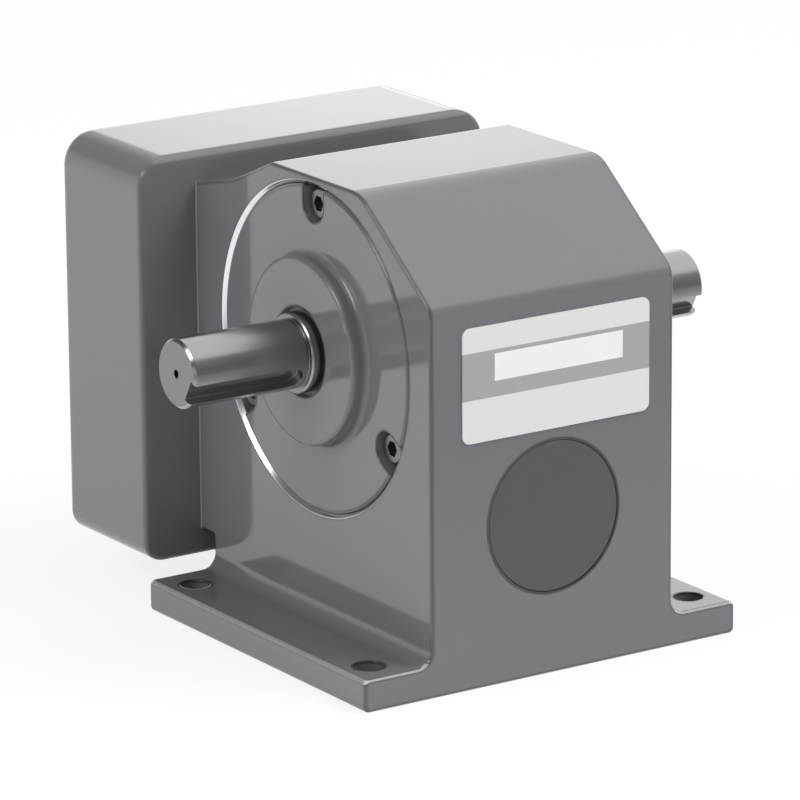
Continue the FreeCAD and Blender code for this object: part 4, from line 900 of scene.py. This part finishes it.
@dataclass
class Studio:
    """White floor, soft light and the camera.

    Attributes:
        floor_size: side of the floor in metres.
        floor_colour: sRGB hex of the floor's matt paper.
        floor_white: share of plain white in what the eye sees of the floor.
        far_floor: brightness in a mirror of the floor well to the right of the object.
        far_span: how far to the right the floor starts to dim and is dimmest in a mirror, in metres.
        sides: direction of the line along which the two bright side walls face each other.
        wall: strength of the fill light from the side walls.
        between: strength of the fill light from between the side walls.
        behind: direction of the middle of the backdrop.
        backdrop: brightness of the backdrop in a mirror, where one is white.
        backdrop_span: cosine of the angle from that middle at the backdrop's edge and where it is full.
        skirting: brightness of the foot of the walls in a mirror.
        skirting_span: upward part of the direction to the skirting's top and to where it is full.
        dim_right: share of backdrop and skirting that is left on the right of the room.
        dim_span: rightward part of the direction to where that dimness is full and to where it ends.
        room: brightness of the rest of the room in a mirror.
        azimuth: the camera's bearing in degrees, from -Y towards +X.
        elevation: the camera's height angle in degrees.
        roll: the camera's roll in degrees.
        distance: the camera's distance from the aim, in metres.
        pivot: point that the aim is measured from, in metres.
        aside: how far the aim lies to the right of the pivot, in metres.
        above: how far the aim lies above the pivot, in metres.
        lens: focal length in millimetres.
        sensor: width of the camera's sensor in millimetres.
        sight: how far the camera sees, in metres.
        lamps: the lamps that light the object.
    """

    floor_size: float = 12.0
    floor_colour: str = "#ededed"
    floor_white: float = 0.82
    far_floor: float = 0.3
    far_span: tuple[float, float] = (0.03, 0.28)
    sides: tuple[float, float, float] = (0.5537, 0.8327, 0.0)
    wall: float = 1.3
    between: float = 0.45
    behind: tuple[float, float, float] = (0.0, 0.75, 0.66)
    backdrop: float = 1.2
    backdrop_span: tuple[float, float] = (0.38, 0.7)
    skirting: float = 0.8
    skirting_span: tuple[float, float] = (0.4, 0.12)
    dim_right: float = 0.2
    dim_span: tuple[float, float] = (0.6, 0.5)
    room: float = 0.15
    azimuth: float = 56.3806
    elevation: float = 15.7932
    roll: float = -0.4272
    distance: float = 1.59931
    pivot: tuple[float, float, float] = (0.0, 0.0, 0.06)
    aside: float = -0.0096
    above: float = 0.003036
    lens: float = 263.004
    sensor: float = 36.0
    sight: float = 100.0
    lamps: tuple[SoftBox, ...] = (
        SoftBox("overhead_softbox", (0.56, 0.64, 1.4), (0.0, 0.0, 0.1), 1.6, 1.6, 9.5),
        SoftBox("front_softbox", (0.06, -1.22, 1.08), (0.0, 0.0, 0.08), 1.7, 0.6, 11.0, True),
        SoftBox("back_panel", (-1.37, 0.853, 0.37), (0.0, 0.0, 0.12), 1.0, 0.72, 1.6, True),
    )

    def build(self) -> None:
        """Sets up the floor, the surroundings, the lamps and the camera."""
        self.lay_floor()
        self.light_surroundings()
        for lamp in self.lamps:
            lamp.hang()
        self.place_camera()

    def seen_rays(self, tree: bpy.types.NodeTree) -> tuple[bpy.types.NodeSocket, bpy.types.NodeSocket]:
        """Sockets that tell how a ray comes from the eye.

        Args:
            tree: node tree that takes the nodes.

        Returns:
            A socket that is one for a straight ray, and one for a ray by a mirror or glass.
        """
        path = add_node(tree, "ShaderNodeLightPath").outputs
        sharp = add_node(
            tree,
            "ShaderNodeMath",
            {"operation": "MAXIMUM"},
            {0: path["Is Glossy Ray"], 1: path["Is Transmission Ray"]},
        )
        return path["Is Camera Ray"], sharp.outputs["Value"]

    def lay_floor(self) -> None:
        """Lays the white floor, which keeps a soft shadow."""
        half = self.floor_size / 2
        corners = [(-half, -half, 0.0), (half, -half, 0.0), (half, half, 0.0), (-half, half, 0.0)]
        mesh = bpy.data.meshes.new("floor")
        mesh.from_pydata(corners, [], [(0, 1, 2, 3)])
        floor = bpy.data.objects.new("floor", mesh)
        bpy.context.scene.collection.objects.link(floor)
        floor.data.materials.append(self.paper())

    def paper(self) -> bpy.types.Material:
        """Makes the floor's paper, matt to the light and nearly white to the eye.

        Returns:
            The paper's material.
        """
        made = bpy.data.materials.new("white_paper_sweep")
        made.use_nodes = True
        tree = made.node_tree
        tree.nodes.clear()
        matt = add_node(tree, "ShaderNodeBsdfDiffuse", {"Color": srgb(self.floor_colour)})
        straight, mirrored = self.seen_rays(tree)
        spot = add_node(tree, "ShaderNodeNewGeometry").outputs["Position"]
        rightward = add_node(tree, "ShaderNodeSeparateXYZ", links={"Vector": spot}).outputs["X"]
        start, full = self.far_span
        dimmed = add_node(
            tree,
            "ShaderNodeMapRange",
            {"From Min": start, "From Max": full, "To Min": 1.0, "To Max": self.far_floor},
            {"Value": rightward},
        ).outputs["Result"]
        level = add_node(
            tree, "ShaderNodeMix", {"data_type": "FLOAT", VALUE_B: 1.0}, {0: straight, VALUE_A: dimmed}
        )
        white = add_node(tree, "ShaderNodeEmission", links={"Strength": level.outputs[VALUE_OUT]})
        seen = add_node(tree, "ShaderNodeMath", {"operation": "MAXIMUM"}, {0: straight, 1: mirrored})
        share = add_node(
            tree,
            "ShaderNodeMath",
            {"operation": "MULTIPLY", 1: self.floor_white},
            {0: seen.outputs["Value"]},
        )
        both = add_node(
            tree,
            "ShaderNodeMixShader",
            links={0: share.outputs["Value"], 1: matt.outputs["BSDF"], 2: white.outputs["Emission"]},
        )
        add_node(tree, "ShaderNodeOutputMaterial", links={"Surface": both.outputs["Shader"]})
        return made

    def light_surroundings(self) -> None:
        """Gives a fill from both sides, and a white backdrop in a dim room where they are seen."""
        world = bpy.data.worlds.new("white_studio")
        bpy.context.scene.world = world
        world.use_nodes = True
        tree = world.node_tree
        tree.nodes.clear()
        straight, mirrored = self.seen_rays(tree)
        way = add_node(tree, "ShaderNodeTexCoord").outputs["Generated"]
        lit = add_node(
            tree,
            "ShaderNodeMix",
            {"data_type": "FLOAT"},
            {0: mirrored, VALUE_A: self.side_fill(tree, way), VALUE_B: self.mirrored_room(tree, way)},
        ).outputs[VALUE_OUT]
        level = add_node(
            tree, "ShaderNodeMix", {"data_type": "FLOAT", VALUE_B: 1.0}, {0: straight, VALUE_A: lit}
        )
        sky = add_node(
            tree, "ShaderNodeBackground", {"Color": WHITE}, {"Strength": level.outputs[VALUE_OUT]}
        )
        add_node(tree, "ShaderNodeOutputWorld", links={"Surface": sky.outputs["Background"]})

    def side_fill(self, tree: bpy.types.NodeTree, way: bpy.types.NodeSocket) -> bpy.types.NodeSocket:
        """Adds the fill light of the two side walls.

        Args:
            tree: the world's nodes.
            way: socket of the direction.

        Returns:
            The socket of the fill's strength.
        """
        aside = add_node(
            tree, "ShaderNodeVectorMath", {"operation": "DOT_PRODUCT", 1: self.sides}, {0: way}
        ).outputs["Value"]
        squared = add_node(tree, "ShaderNodeMath", {"operation": "POWER", 1: 2.0}, {0: aside})
        fill = add_node(
            tree,
            "ShaderNodeMapRange",
            {"To Min": self.between, "To Max": self.wall},
            {"Value": squared.outputs["Value"]},
        )
        return fill.outputs["Result"]

    def mirrored_room(self, tree: bpy.types.NodeTree, way: bpy.types.NodeSocket) -> bpy.types.NodeSocket:
        """Adds what a mirror shows: a backdrop and a skirting that are dimmer on the right, in a dim room.

        Args:
            tree: the world's nodes.
            way: socket of the direction.

        Returns:
            The socket of the brightness.
        """
        backward = add_node(
            tree, "ShaderNodeVectorMath", {"operation": "DOT_PRODUCT", 1: self.behind}, {0: way}
        ).outputs["Value"]
        parts = add_node(tree, "ShaderNodeSeparateXYZ", links={"Vector": way}).outputs
        ramps = (
            (backward, self.backdrop_span, 0.0, self.backdrop - self.room),
            (parts["Z"], self.skirting_span, 0.0, self.skirting - self.room),
            (parts["X"], self.dim_span, self.dim_right, 1.0),
        )
        levels = []
        for value, (start, full), least, most in ramps:
            ramp = {
                "interpolation_type": "SMOOTHSTEP",
                "From Min": start,
                "From Max": full,
                "To Min": least,
                "To Max": most,
            }
            levels.append(add_node(tree, "ShaderNodeMapRange", ramp, {"Value": value}).outputs["Result"])
        backdrop, skirting, dimness = levels
        bright = add_node(
            tree, "ShaderNodeMath", {"operation": "MAXIMUM"}, {0: backdrop, 1: skirting}
        ).outputs["Value"]
        shown = add_node(
            tree, "ShaderNodeMath", {"operation": "MULTIPLY"}, {0: bright, 1: dimness}
        ).outputs["Value"]
        room = add_node(tree, "ShaderNodeMath", {"operation": "ADD", 1: self.room}, {0: shown})
        return room.outputs["Value"]

    def place_camera(self) -> None:
        """Places the camera at the picture's viewing angle."""
        bearing, height, roll = (math.radians(angle) for angle in (self.azimuth, self.elevation, self.roll))
        level = math.cos(height)
        back = Vector((math.sin(bearing) * level, -math.cos(bearing) * level, math.sin(height)))
        right = Vector((math.cos(bearing), math.sin(bearing), 0.0))
        up = back.cross(right)
        place = Vector(self.pivot) + right * self.aside + up * self.above + back * self.distance
        across = right * math.cos(roll) + up * math.sin(roll)
        upward = up * math.cos(roll) - right * math.sin(roll)
        camera = bpy.data.cameras.new("studio_camera")
        camera.lens = self.lens
        camera.sensor_width = self.sensor
        camera.clip_end = self.sight
        holder = bpy.data.objects.new("studio_camera", camera)
        turn = Matrix((across, upward, back)).transposed().to_4x4()
        holder.matrix_world = Matrix.Translation(place) @ turn
        bpy.context.scene.collection.objects.link(holder)
        bpy.context.scene.camera = holder


def main() -> None:
    """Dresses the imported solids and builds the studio."""
    logging.basicConfig(level=logging.INFO, format="%(name)s %(message)s")
    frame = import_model()
    nodes = frame["nodes"]
    joints = {joint["name"]: joint for joint in frame["joints"]}
    for assembly in (
        Casting(nodes, joints["output_spin"]),
        OutputLine(nodes, joints["output_spin"]),
        WormLine(nodes, joints["worm_spin"]),
        MotorSide(nodes, joints["input_spin"]),
    ):
        assembly.dress()
    Studio().build()
    bpy.context.scene.view_settings.view_transform = "Standard"


if __name__ == "__main__":
    main()
